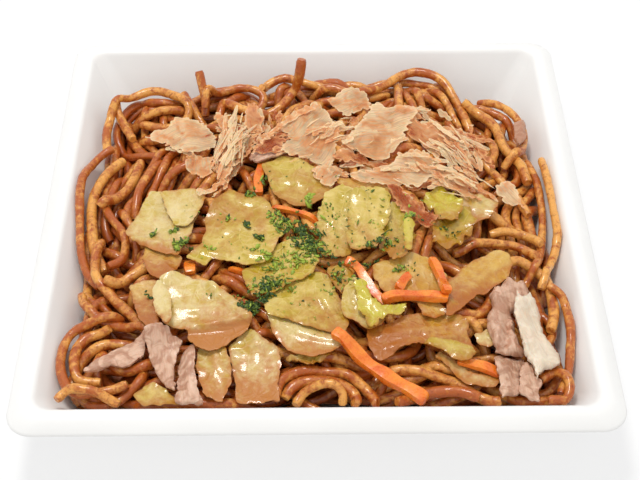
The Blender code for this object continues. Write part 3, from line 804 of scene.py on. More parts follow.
@dataclass(frozen=True)
class MeatFinish:
    """Cooked pork: pinkish tan, with fibres along the slice and browner streaks and patches."""

    name: str
    lean: Colour
    light: Colour
    edge: Colour

    def build(self) -> Material:
        """Makes the material."""
        look = Wiring(self.name)
        fibre = look.streaks(0.55, 5.0)
        marble = look.noise(3.5, 4.0, 1.2)
        colour = look.mix(look.ramp(marble, 0.36, 0.62), self.lean, self.light)
        colour = look.mix(look.scaled(look.ramp(fibre, 0.5, 0.72), 0.5), colour, self.edge)
        colour = look.mix(look.scaled(look.mark("stain"), 0.8), colour, self.edge)
        return look.set(
            Base_Color=colour, Roughness=look.span(fibre, 0.3, 0.55), Subsurface_Weight=0.25,
            Subsurface_Radius=(0.003, 0.0015, 0.001), Coat_Weight=0.12, Coat_Roughness=0.2,
            Normal=look.bump(fibre, 0.3, look.bump(marble, 0.3)))


@dataclass(frozen=True)
class FlakeFinish:
    """Dried fish shaving: papery, from cream through peach to rosy brown, with fine fibres."""

    cream: Colour = (0.92, 0.70, 0.42)
    peach: Colour = (0.83, 0.385, 0.15)
    rosy: Colour = (0.46, 0.092, 0.02)

    def build(self) -> Material:
        """Makes the material."""
        look = Wiring("fish_shaving")
        blotch = look.noise(3.5, 4.0, 1.0)
        fibre = look.streaks(0.5, 6.0)
        tint = look.add(look.mark("tint"), look.span(blotch, -0.3, 0.3),
                          look.span(fibre, -0.3, 0.3))
        colour = look.mix(look.ramp(tint, -0.05, 0.55), self.cream, self.peach)
        colour = look.mix(look.ramp(tint, 0.5, 1.1), colour, self.rosy)
        return look.set(
            Base_Color=colour, Roughness=look.span(fibre, 0.3, 0.55), Specular_IOR_Level=0.35,
            Subsurface_Weight=0.3, Subsurface_Radius=(0.003, 0.002, 0.001),
            Alpha=look.add(look.mark("dense"), look.span(fibre, -0.15, 0.15)),
            Normal=look.bump(fibre, 0.10))


class SeaweedFinish:
    """Dried green seaweed flakes, some dark and some bright."""

    def build(self) -> Material:
        """Makes the material."""
        look = Wiring("seaweed_green")
        mottle = look.noise(1.2, 3.0)
        light = look.add(look.mark("tint"), look.span(mottle, -0.3, 0.3))
        colour = look.mix(look.ramp(light, 0.05, 0.95), (0.030, 0.070, 0.006),
                            (0.36, 0.47, 0.045))
        return look.set(
            Base_Color=colour, Roughness=look.span(mottle, 0.35, 0.7))


# ======== tray


@dataclass
class Tray:
    """The square foam tray: one closed shell swept round its corners."""

    half: float = 85.0
    rim: float = 24.0
    floor_half: float = 62.0
    floor: float = 1.2
    base_half: float = 63.5
    wall: float = 1.1
    foot: Spot = WALL_FOOT
    head: Spot = (77.2, 22.6)
    corner_steps: int = 16

    def section(self) -> list[tuple[float, float, float]]:
        """Half width, height and corner radius of each ring, from the base out and over."""
        foot, foot_z = self.foot
        head, head_z = self.head
        top = self.rim
        return [
            (self.base_half - 3.0, 0.0, 8.0), (self.base_half - 0.5, 0.0, 8.0),
            (self.base_half + 0.9, 0.25, 8.0), (self.base_half + 2.0, 0.9, 8.0),
            (foot + 0.6, 2.2, 8.0), (foot + self.wall + 0.3, foot_z - 0.6, 8.0),
            (head + 1.6, top - 1.9, 5.4), (head + 2.2, top - 1.35, 5.6),
            (head + 3.2, top - 1.35, 6.0), (head + 4.3, top - 1.7, 6.4),
            (self.half - 1.0, top - 3.25, 7.4), (self.half - 0.4, top - 3.42, 7.5),
            (self.half - 0.05, top - 3.1, 7.5), (self.half - 0.05, top - 2.7, 7.5),
            (self.half - 0.5, top - 2.15, 7.4), (head + 5.4, top - 0.9, 7.0),
            (head + 4.5, top - 0.36, 6.6), (head + 3.7, top - 0.06, 6.2), (head + 2.7, top, 5.8),
            (head + 1.8, top - 0.03, 5.4), (head + 1.1, top - 0.24, 5.0),
            (head + 0.55, top - 0.65, 4.8), (head, head_z, 4.6),
            (foot + 1.0, foot_z + 1.7, 6.8), (foot - 0.2, foot_z - 0.25, 7.0),
            (foot - 1.5, 2.6, 7.0), (self.floor_half + 2.2, 1.85, 7.0),
            (self.floor_half, 1.4, 7.0), (self.floor_half - 3.0, self.floor, 7.0),
        ]

    def ring(self, half: float, radius: float) -> Array:
        """One ring of the shell: a square with round corners."""
        inner = half - radius
        spots = []
        for corner in range(4):
            turn = math.radians(90.0 * corner + 45.0)
            middle = np.array([math.copysign(inner, math.cos(turn)),
                               math.copysign(inner, math.sin(turn))])
            for step in range(self.corner_steps + 1):
                angle = math.radians(90.0 * (corner + step / self.corner_steps))
                spots.append(middle + radius * np.array([math.cos(angle), math.sin(angle)]))
        return np.array(spots)

    def build(self) -> FrameMesh:
        """Makes the shell and dresses it.

        Returns:
            Its mesh, on which the noodles are laid.
        """
        rings = [np.column_stack([self.ring(half, radius), np.full(4 * self.corner_steps + 4, z)])
                 for half, z, radius in self.section()]
        count = len(rings[0])
        k = np.arange(count)
        after = (k + 1) % count
        faces = []
        for row in range(len(rings) - 1):
            low, high = row * count, (row + 1) * count
            faces.extend(np.stack([low + k, low + after, high + after, high + k], axis=1).tolist())
        faces.append(k[::-1].tolist())
        faces.append(((len(rings) - 1) * count + k).tolist())
        piece = make_mesh("tray_shell", np.concatenate(rings), faces, crisp=50.0)
        adopt(piece, FoamFinish().build(), ("tray",))
        return FrameMesh.read(piece)


# ======== noodles


@dataclass
class Strand:
    """One noodle: its middle line, its radius along that line, and how stained it is."""

    line: Array
    girth: Array
    tone: Array

    def sunk(self, level: HeightField) -> Array:
        """How dark each point is painted, from how deep it lies below the even top of the heap: painted shade
        in the gaps and under the toppings, partly standing for pooled sauce.
        """
        above = level.at(self.line[:, 0], self.line[:, 1]) - self.line[:, 2] - self.girth
        return np.clip((above - 0.6) / 7.0, 0.0, 0.5)


# Noodles that show as separate loops and ends: x, y and height of the points of each.
LOOSE_STRANDS: tuple[tuple[tuple[float, float, float], ...], ...] = (
    # Ends, loops and arcs along the back.
    ((-68, 54, 24), (-67, 49, 22), (-64, 43, 20), (-61, 37, 19)),
    ((-45, 57, 24), (-42, 52, 22), (-39, 47, 20), (-36, 42, 19)),
    ((-39, 57, 32), (-38, 54, 28), (-37, 51, 24), (-37, 47, 20)),
    ((-4, 58, 36), (-5, 56, 30), (-7, 55, 24), (-12, 49, 22), (-18, 46, 20)),
    ((-69, 31, 20), (-70, 40, 21), (-68, 50, 22), (-63, 55, 23), (-56, 58, 24), (-49, 56, 24), (-43, 50, 23),
     (-44, 44, 22), (-50, 42, 21), (-59, 45, 20)),
    ((-37, 47, 20), (-36, 52, 22), (-31, 57, 24), (-23, 58, 25), (-18, 56, 24), (-18, 52, 22), (-23, 48, 20)),
    ((-18, 58, 20), (-16, 62, 23), (-10, 64, 24), (-3, 62, 24), (7, 58, 23), (18, 56, 22), (26, 58, 21)),
    ((-1, 57, 20), (6, 57, 22), (13, 55, 23), (22, 58, 24), (30, 64, 25), (37, 65, 26), (44, 61, 26),
     (48, 54, 24), (51, 46, 22), (53, 39, 20)),
    # Along the left side.
    ((-67, 31, 20), (-72, 26, 21), (-75, 14, 22), (-74, -2, 22), (-72, -16, 21), (-69, -24, 20),
     (-65, -29, 20)),
    ((-63, 26, 21), (-68, 19, 21), (-71, 8, 21), (-70, -5, 21), (-68, -15, 20), (-64, -23, 20)),
    ((-66, -12, 20), (-67, -19, 21), (-66, -27, 21), (-61, -34, 21), (-54, -42, 22), (-48, -49, 22)),
    ((-70, -33, 21), (-68, -38, 21), (-63, -43, 21), (-56, -46, 21), (-48, -49, 21)),
    ((-50, -24, 24), (-55, -27, 23), (-59, -30, 22), (-63, -30, 21)),
    # Along the front.
    ((-57, -43, 21), (-65, -45, 21), (-71, -48, 21), (-73, -55, 21), (-72, -63, 21), (-68, -69, 21),
     (-60, -69, 21), (-53, -67, 21)),
    ((-60, -47, 20), (-66, -49, 20), (-69, -53, 20), (-69, -59, 20), (-67, -64, 20), (-61, -65, 20)),
    ((-72, -73, 23), (-69, -70, 22), (-65, -70, 21), (-60, -71, 20), (-55, -73, 20)),
    ((-9, -71, 20), (-7, -68, 21), (-3, -66, 21), (4, -67, 22), (9, -69, 21), (11, -72, 20), (10, -74, 19)),
    ((-6, -73, 19), (-4, -70, 20), (-1, -69, 20), (4, -69, 20), (7, -71, 19), (7, -74, 19)),
    ((-12, -72, 20), (-10, -66, 21), (-5, -63, 21), (4, -63, 21), (10, -65, 21), (15, -70, 20),
     (17, -74, 19)),
    # Along the right side, and at its front and back corners.
    ((56, -25, 24), (61, -23, 24), (65, -25, 23), (69, -29, 22), (70, -35, 22), (70, -42, 21), (68, -49, 21)),
    ((76, 23, 21), (77, 10, 22), (76, -3, 22), (74, -16, 22), (70, -26, 21), (67, -34, 20)),
    ((70, 24, 21), (72, 14, 21), (72, 0, 21), (70, -13, 21), (67, -24, 21), (62, -32, 21)),
    ((69, -34, 21), (73, -38, 21), (74, -46, 21), (73, -55, 21), (71, -64, 21), (68, -71, 21)),
    ((63, -66, 21), (67, -64, 21), (70, -67, 21), (70, -72, 21), (67, -75, 20), (64, -74, 20)),
    ((51, 50, 22), (57, 46, 22), (61, 40, 22), (63, 30, 22), (67, 22, 22), (69, 13, 22)),
    ((57, 55, 20), (63, 52, 22), (68, 45, 23), (70, 36, 23), (68, 27, 22), (62, 21, 21)),
    ((45, 43, 22), (49, 31, 23), (54, 22, 23), (59, 14, 23), (64, 6, 23), (67, -3, 22)),
    ((42, -20, 24), (49, -17, 24), (56, -16, 24), (63, -17, 23), (67, -22, 22)),
    ((54, -11, 23), (60, -10, 23), (66, -12, 22), (69, -17, 21)),
    # A few more on the left and at the front.
    ((-68, 6, 21), (-64, -2, 22), (-59, -11, 22), (-59, -19, 22), (-63, -23, 21)),
    ((-57, 24, 22), (-59, 14, 22), (-63, 7, 22), (-68, 2, 21)),
    ((18, -66, 22), (23, -63, 22), (32, -65, 22), (39, -67, 21), (45, -71, 20), (51, -74, 19)),
    ((22, -74, 20), (29, -71, 21), (37, -70, 21), (45, -73, 20)),
)
# A strand that starts higher than this stands up on its own.
STANDING = 30.0


@dataclass
class NoodleHeap:
    """Noodles laid one after another over a smaller core, dark as painted shade, wherever the heap is still
    low.
    """

    ground: HeightField
    radius: float = 1.52
    depth: float = 8.5
    inset: float = 7.0
    longest: float = 170.0
    most: int = 1500
    shortest: int = 22
    step: float = 1.2
    dip: float = 4.5
    lowest: float = 1.4
    seed: int = 11
    laid: list[Strand] = field(default_factory=list)
    loose: list[Strand] = field(default_factory=list)

    def core(self, heap: FrameMesh) -> None:
        """Makes the core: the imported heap, shrunk and sunk, and lifts the ground to it."""
        points = heap.points.copy()
        middle = np.array([0.0, -4.0])
        out = points[:, :2] - middle
        far = np.maximum(np.linalg.norm(out, axis=1, keepdims=True), 1e-6)
        points[:, :2] = middle + out * (1.0 - self.inset / np.maximum(far, 2.5 * self.inset))
        sunk = np.clip((points[:, 2] - 2.0) / 9.0, 0.0, 1.0) * self.depth
        points[:, 2] = np.maximum(points[:, 2] - sunk, 1.9)
        # The core is a dark sheet that stands for the shade between the strands.
        piece = make_mesh("noodle_core", points, heap.triangles)
        adopt(piece, CoreFinish().build(), ("noodle_heap",))
        self.ground.raise_mesh(points, heap.triangles)

    def goal(self, heap: FrameMesh, covered: Array) -> Array:
        """How high the noodles may reach at each cell, and very low outside the heap."""
        field_ = HeightField()
        field_.raise_mesh(heap.points, heap.upper())
        level = field_.top
        inside = level > 0.0
        shrunk = inside.copy()
        reach = int(round(self.radius / HeightField.CELL))
        for dy in range(-reach, reach + 1):
            for dx in range(-reach, reach + 1):
                if dx * dx + dy * dy <= reach * reach:
                    shrunk &= np.roll(inside, (dy, dx), axis=(0, 1))
        lump = rolling_noise(self.seed, 12.0)(self.ground.x, self.ground.y)
        level = level + np.where(covered, 0.0, 0.9 * lump + 0.6)
        level[~shrunk] = HeightField.EMPTY
        return level

    def clear_for(self, level: Array) -> Array:
        """Lowers the goal under the loose strands, which come last."""
        for knots in LOOSE_STRANDS:
            line = smooth_route(knots, 1.0)
            for x, y, z in line:
                row, column = self.ground.cell(x, y)
                window = self.ground.window(row, column, 6)
                patch = level[window]
                far = np.hypot(self.ground.x[window] - x, self.ground.y[window] - y)
                low = min(z, 26.0) - 1.6 - self.radius
                close = (far < 3.0) & (patch > 0.0)
                patch[close] = np.minimum(patch[close], low)
        return level

    def free(self, room: Array, x: float, y: float) -> float:
        """Room at a point, counted double where there is none."""
        last = room.shape[0] - 1
        row = min(max(int((y + HeightField.HALF) / HeightField.CELL), 0), last)
        column = min(max(int((x + HeightField.HALF) / HeightField.CELL), 0), last)
        value = room[row, column]
        return min(value, 2.5) if value > 0 else max(2 * value, -20.0)

    def walk(self, room: Array, rng: np.random.Generator, start: Spot,
             heading: float, length: float) -> list[Spot]:
        """Walks from a start, turning smoothly to where the heap has most room.

        Args:
            room: Height that is still free at each cell.
            rng: Source of random numbers.
            start: Where it starts.
            heading: Direction it sets out in.
            length: How far it goes.

        Returns:
            Points of the walk after its start, as seen from above.
        """
        step = 2.0
        x, y = start
        turn = 0.0
        aim = rng.choice([-1, 1]) / rng.uniform(8.0, 60.0)
        path = []
        for _ in range(int(length / step)):
            if rng.random() < 0.07:
                aim = rng.choice([-1, 1]) / rng.uniform(7.0, 60.0)
            best, best_score = turn, -1e9
            for change in (-0.07, -0.03, 0.0, 0.03, 0.07):
                bend = min(max(turn + change, -0.16), 0.16)
                score = -14.0 * abs(bend - aim) - 6.0 * abs(change)
                for far in (3.0, 6.0, 10.0, 14.0):
                    angle = heading + bend * far / 2
                    score += self.free(room, x + far * math.cos(angle), y + far * math.sin(angle))
                if score > best_score:
                    best, best_score = bend, score
            turn = best
            heading += turn * step
            x += step * math.cos(heading)
            y += step * math.sin(heading)
            if self.free(room, x, y) < -9.0:
                break
            path.append((x, y))
        return path

    def wander(self, room: Array, rng: np.random.Generator, start: Spot,
               length: float) -> Array:
        """Walks both ways from a start, and joins the two walks into one path."""
        x, y = start
        headings = rng.uniform(0, math.pi, 8)
        heading = max(headings, key=lambda h: sum(
            self.free(room, x + d * math.cos(h), y + d * math.sin(h))
            for d in (-20.0, -12.0, -6.0, 6.0, 12.0, 20.0)))
        share = rng.uniform(0.2, 0.8)
        ahead = self.walk(room, rng, start, heading, length * share)
        behind = self.walk(room, rng, start, heading + math.pi, length * (1.0 - share))
        return np.array([*behind[::-1], start, *ahead])

    def drape(self, xy: Array, girth: float, least: Array | float = -90.0,
              stiffness: int = 16) -> Array:
        """Height of a strand's middle line where it lies on the ground.

        Args:
            xy: The line as seen from above.
            girth: Its radius.
            least: Heights that it is held up to.
            stiffness: How far it bridges hollows.

        Returns:
            The height at each point.
        """
        side = sideways(xy)
        need = np.full(len(xy), -90.0)
        for share in (-0.85, -0.5, 0.0, 0.5, 0.85):
            spot = xy + side * girth * share
            level = self.ground.at(spot[:, 0], spot[:, 1]) + girth * math.sqrt(1 - share * share)
            need = np.maximum(need, level)
        need = np.maximum(need, least)
        z = need.copy()
        for turn in range(stiffness + 3):
            smooth = z.copy()
            smooth[1:-1] = 0.25 * z[:-2] + 0.5 * z[1:-1] + 0.25 * z[2:]
            z = np.maximum(need, smooth) if turn < stiffness else smooth
        return z

    def strand(self, xy: Array, z: Array, rng: np.random.Generator) -> Strand:
        """Makes a strand with slightly uneven girth and stain."""
        line = np.column_stack([xy, z])
        run = np.arange(len(line)) * self.step
        waves = np.sin(run / rng.uniform(5, 9) + rng.uniform(0, 6))
        ripples = np.sin(run / rng.uniform(1.5, 3) + rng.uniform(0, 6))
        girth = self.radius * (rng.uniform(0.86, 1.12) + 0.05 * waves + 0.02 * ripples)
        girth[[0, -1]] *= 0.82
        line[:, 2] = np.maximum(line[:, 2], self.lowest + girth)
        front = np.clip((-xy[:, 1] - 5.0) / 50.0, 0.0, 1.0)
        left = np.clip((-xy[:, 0] - 20.0) / 40.0, 0.0, 1.0)
        back = np.clip((xy[:, 1] - 25.0) / 20.0, 0.0, 1.0)
        tone = rng.uniform(0.0, 1.0) + 0.2 * waves + 0.5 * np.maximum(front, np.maximum(left, 0.5 * back))
        return Strand(line, girth, tone)

    def fill(self, level: Array, covered: Array) -> None:
        """Lays strands until the heap is full."""
        rng = np.random.default_rng(self.seed)
        slack = np.where(covered, 0.7, 1.8)
        inside = np.argwhere(level > 0.0)
        tried = np.zeros_like(level)
        for _ in range(self.most):
            room = level - self.ground.top - 2 * self.radius
            picks = inside[rng.integers(0, len(inside), 500)]
            values = (room - tried)[picks[:, 0], picks[:, 1]]
            row, column = picks[np.argmax(values)]
            if values.max() < -0.6:
                break
            tried[self.ground.window(row, column, 3)] += 0.7
            start = (float(self.ground.x[row, column]), float(self.ground.y[row, column]))
            path = self.wander(room, rng, start, rng.uniform(60.0, self.longest))
            if len(path) < 9:
                continue
            main = smooth_route(path[::2], self.step)
            group = 1 + int(rng.random() < 0.45) + int(rng.random() < 0.25)
            aside = rng.choice([-1, 1]) * (2 * self.radius + 0.25)
            for member in range(group):
                xy = main + sideways(main) * aside * member
                if member:
                    xy = smooth_route(xy[::4], self.step)
                self.settle(xy, level, slack, rng)

    def settle(self, xy: Array, level: Array, slack: Array,
               rng: np.random.Generator) -> None:
        """Lays the longest stretch of a path that stays under the goal."""
        z = self.drape(xy, self.radius)
        cells = self.ground.cell(xy[:, 0], xy[:, 1])
        good = (z + self.radius < level[cells] + slack[cells]) & (level[cells] > 0.0)
        good = np.convolve(good.astype(float), np.ones(5) / 5, mode="same") > 0.5
        turns = np.flatnonzero(np.diff([False, *good, False]))
        first, last = max(zip(turns[::2], turns[1::2]), key=lambda run: run[1] - run[0],
                          default=(0, 0))
        if last - first < self.shortest:
            return
        tuck = np.zeros(last - first)
        fade = (1.0 - np.arange(9) / 9.0) ** 2
        tuck[:9] = fade
        tuck[-9:] = np.maximum(tuck[-9:], fade[::-1])
        made = self.strand(xy[first:last], z[first:last] - self.dip * tuck, rng)
        self.ground.raise_tube(made.line, made.girth)
        self.laid.append(made)

    def lay_loose(self) -> None:
        """Lays the strands that show as separate loops and ends."""
        rng = np.random.default_rng(self.seed + 1)
        for knots in LOOSE_STRANDS:
            line = smooth_route(knots, 1.0)
            reach = WALL_FOOT[0] + (line[:, 2] - WALL_FOOT[1]) * WALL_SLOPE - self.radius * 1.17
            line[:, 0] = np.clip(line[:, 0], -reach, reach)
            line[:, 1] = np.clip(line[:, 1], -reach, reach)
            held = line[:, 2] - (0.0 if knots[0][2] > STANDING else 1.6)
            z = self.drape(line[:, :2], self.radius, held, 10)
            made = self.strand(line[:, :2], z, rng)
            self.ground.raise_tube(made.line, made.girth)
            self.loose.append(made)

    def sweep(self, name: str, strands: list[Strand], sides: int, finish: Material) -> None:
        """Turns strands into one piece of closed round noodles."""
        edges, start = [], 0
        for s in strands:
            edges.extend((start + k, start + k + 1) for k in range(len(s.line) - 1))
            start += len(s.line)
        level = self.ground.evened(5.0)
        # deep darkens the strands that lie low in the heap or under the toppings: painted shade, partly
        # standing for pooled sauce.
        marks = {"girth": np.concatenate([s.girth for s in strands]) * MM,
                 "tone": np.concatenate([s.tone for s in strands]),
                 "deep": np.concatenate([s.sunk(level) for s in strands])}
        points = np.concatenate([s.line for s in strands])
        lines = make_mesh(name + "_lines", points, [], marks, edges=edges)
        piece = PathTree(name, finish).bake(lines, name, Sides=sides, Roundness=1.0)
        roughen(piece, 0.15, 1.3, self.seed)
        adopt(piece, finish, ("noodle_heap",))

    def build(self, heap: FrameMesh, covered: Array) -> None:
        """Makes the core and lays every strand."""
        self.core(heap)
        level = self.clear_for(self.goal(heap, covered))
        self.fill(level, covered)
        self.lay_loose()
        total = sum(len(s.line) for s in self.laid + self.loose) * self.step / 1000.0
        LOG.info("%d strands, %.1f m", len(self.laid) + len(self.loose), total)

    def dress(self) -> None:
        """Makes the pieces from the strands: the lower ones, the upper ones and the loose ones."""
        half = len(self.laid) // 2
        # The lower strands get a darker copy of the finish as painted shade, and the loose strands on top a
        # lighter copy as painted light.
        self.sweep("noodles_lower", self.laid[:half], 8,
                   NoodleFinish("noodle_deep", shade_shift=0.15).build())
        self.sweep("noodles_upper", self.laid[half:], 12, NoodleFinish("noodle_upper").build())
        self.sweep("noodles_loose", self.loose, 12, NoodleFinish("noodle_loose", shade_shift=-0.12).build())


# ======== cabbage, pork and carrot


class LeafKind(Enum):
    """The three looks of the cooked cabbage, by the name of their material slot."""

    PALE = "cabbage_pale"
    GREEN = "cabbage_green"
    BROWNED = "cabbage_browned"


LEAF_FINISHES = {
    LeafKind.PALE: LeafFinish("leaf_pale", (0.72, 0.57, 0.27), (0.54, 0.37, 0.03),
                              (0.46, 0.14, 0.012)),
    LeafKind.GREEN: LeafFinish("leaf_green", (0.72, 0.54, 0.17), (0.47, 0.335, 0.010),
                               (0.42, 0.15, 0.008)),
    LeafKind.BROWNED: LeafFinish("leaf_browned", (0.68, 0.46, 0.15), (0.60, 0.32, 0.016),
                                 (0.40, 0.10, 0.006)),
}


@dataclass(frozen=True)
class Fold:
    """A ridge on a sheet from start to end, or a groove where height is below 0.

    To the right of its line the sheet is drop lower, and its stain greater by its last value: partly a brown
    underside, partly painted shade where the sheet turns down.
    """

    start: Spot
    end: Spot
    height: float
    width: float = 1.2
    drop: float = 0.0
    brown_and_shade: float = 0.0

    def measure(self, xy: Array) -> tuple[Array, Array]:
        """Strength of the ridge, and how far to the right of its line each point lies, 0 to 1."""
        run = np.array(self.end, dtype=float) - self.start
        length = float(np.linalg.norm(run))
        run /= length
        away = xy - self.start
        along = away @ run
        right = away[:, 0] * run[1] - away[:, 1] * run[0]
        past = np.maximum(0.0, np.maximum(-along, along - length))
        share = np.clip(right / (1.5 * self.width), 0.0, 1.0)
        return np.exp(-(right ** 2 + past ** 2) / self.width ** 2), share * share * (3 - 2 * share)


def folded(xy: Array, folds: tuple[Fold, ...]) -> tuple[Array, Array]:
    """Relief and added stain of a sheet's folds at each point; the added stain is partly painted shade."""
    relief = np.zeros(len(xy))
    stain = np.zeros(len(xy))
    for fold in folds:
        ridge, beyond = fold.measure(xy)
        relief += fold.height * ridge - fold.drop * beyond
        stain += fold.brown_and_shade * beyond
    return relief, stain


@dataclass(frozen=True)
class Leaf:
    """One piece of cabbage: its name, its look, its corners and how it is shaped.

    rib is the direction of its veins in degrees. crown is how far the middle stands up, frill
    how far the rim ripples, waves how often. green and stain are its colour, and stain grows
    towards the direction browned, in degrees.
    """

    node: str
    kind: LeafKind
    corners: Outline
    rib: float = 0.0
    crown: float = 0.6
    frill: float = 0.6
    waves: int = 5
    thick: float = 0.55
    green: float = 0.5
    stain: float = 0.5
    browned: float = -90.0
    folds: tuple[Fold, ...] = ()


@dataclass(frozen=True)
class Slice:
    """One slice of pork: its node, corners, direction of its fibres in degrees, and folds.

    A slice with no corners takes the outline of its node.
    """

    node: str
    corners: Outline
    grain: float = 100.0
    thick: float = 1.3
    browned: float = 0.0
    folds: tuple[Fold, ...] = ()


@dataclass(frozen=True)
class Stick:
    """One stick of carrot: its node, the line it follows, its width and its height."""

    node: str
    route: Outline
    wide: float
    tall: float


PALE, GREEN, BROWNED = LeafKind.PALE, LeafKind.GREEN, LeafKind.BROWNED
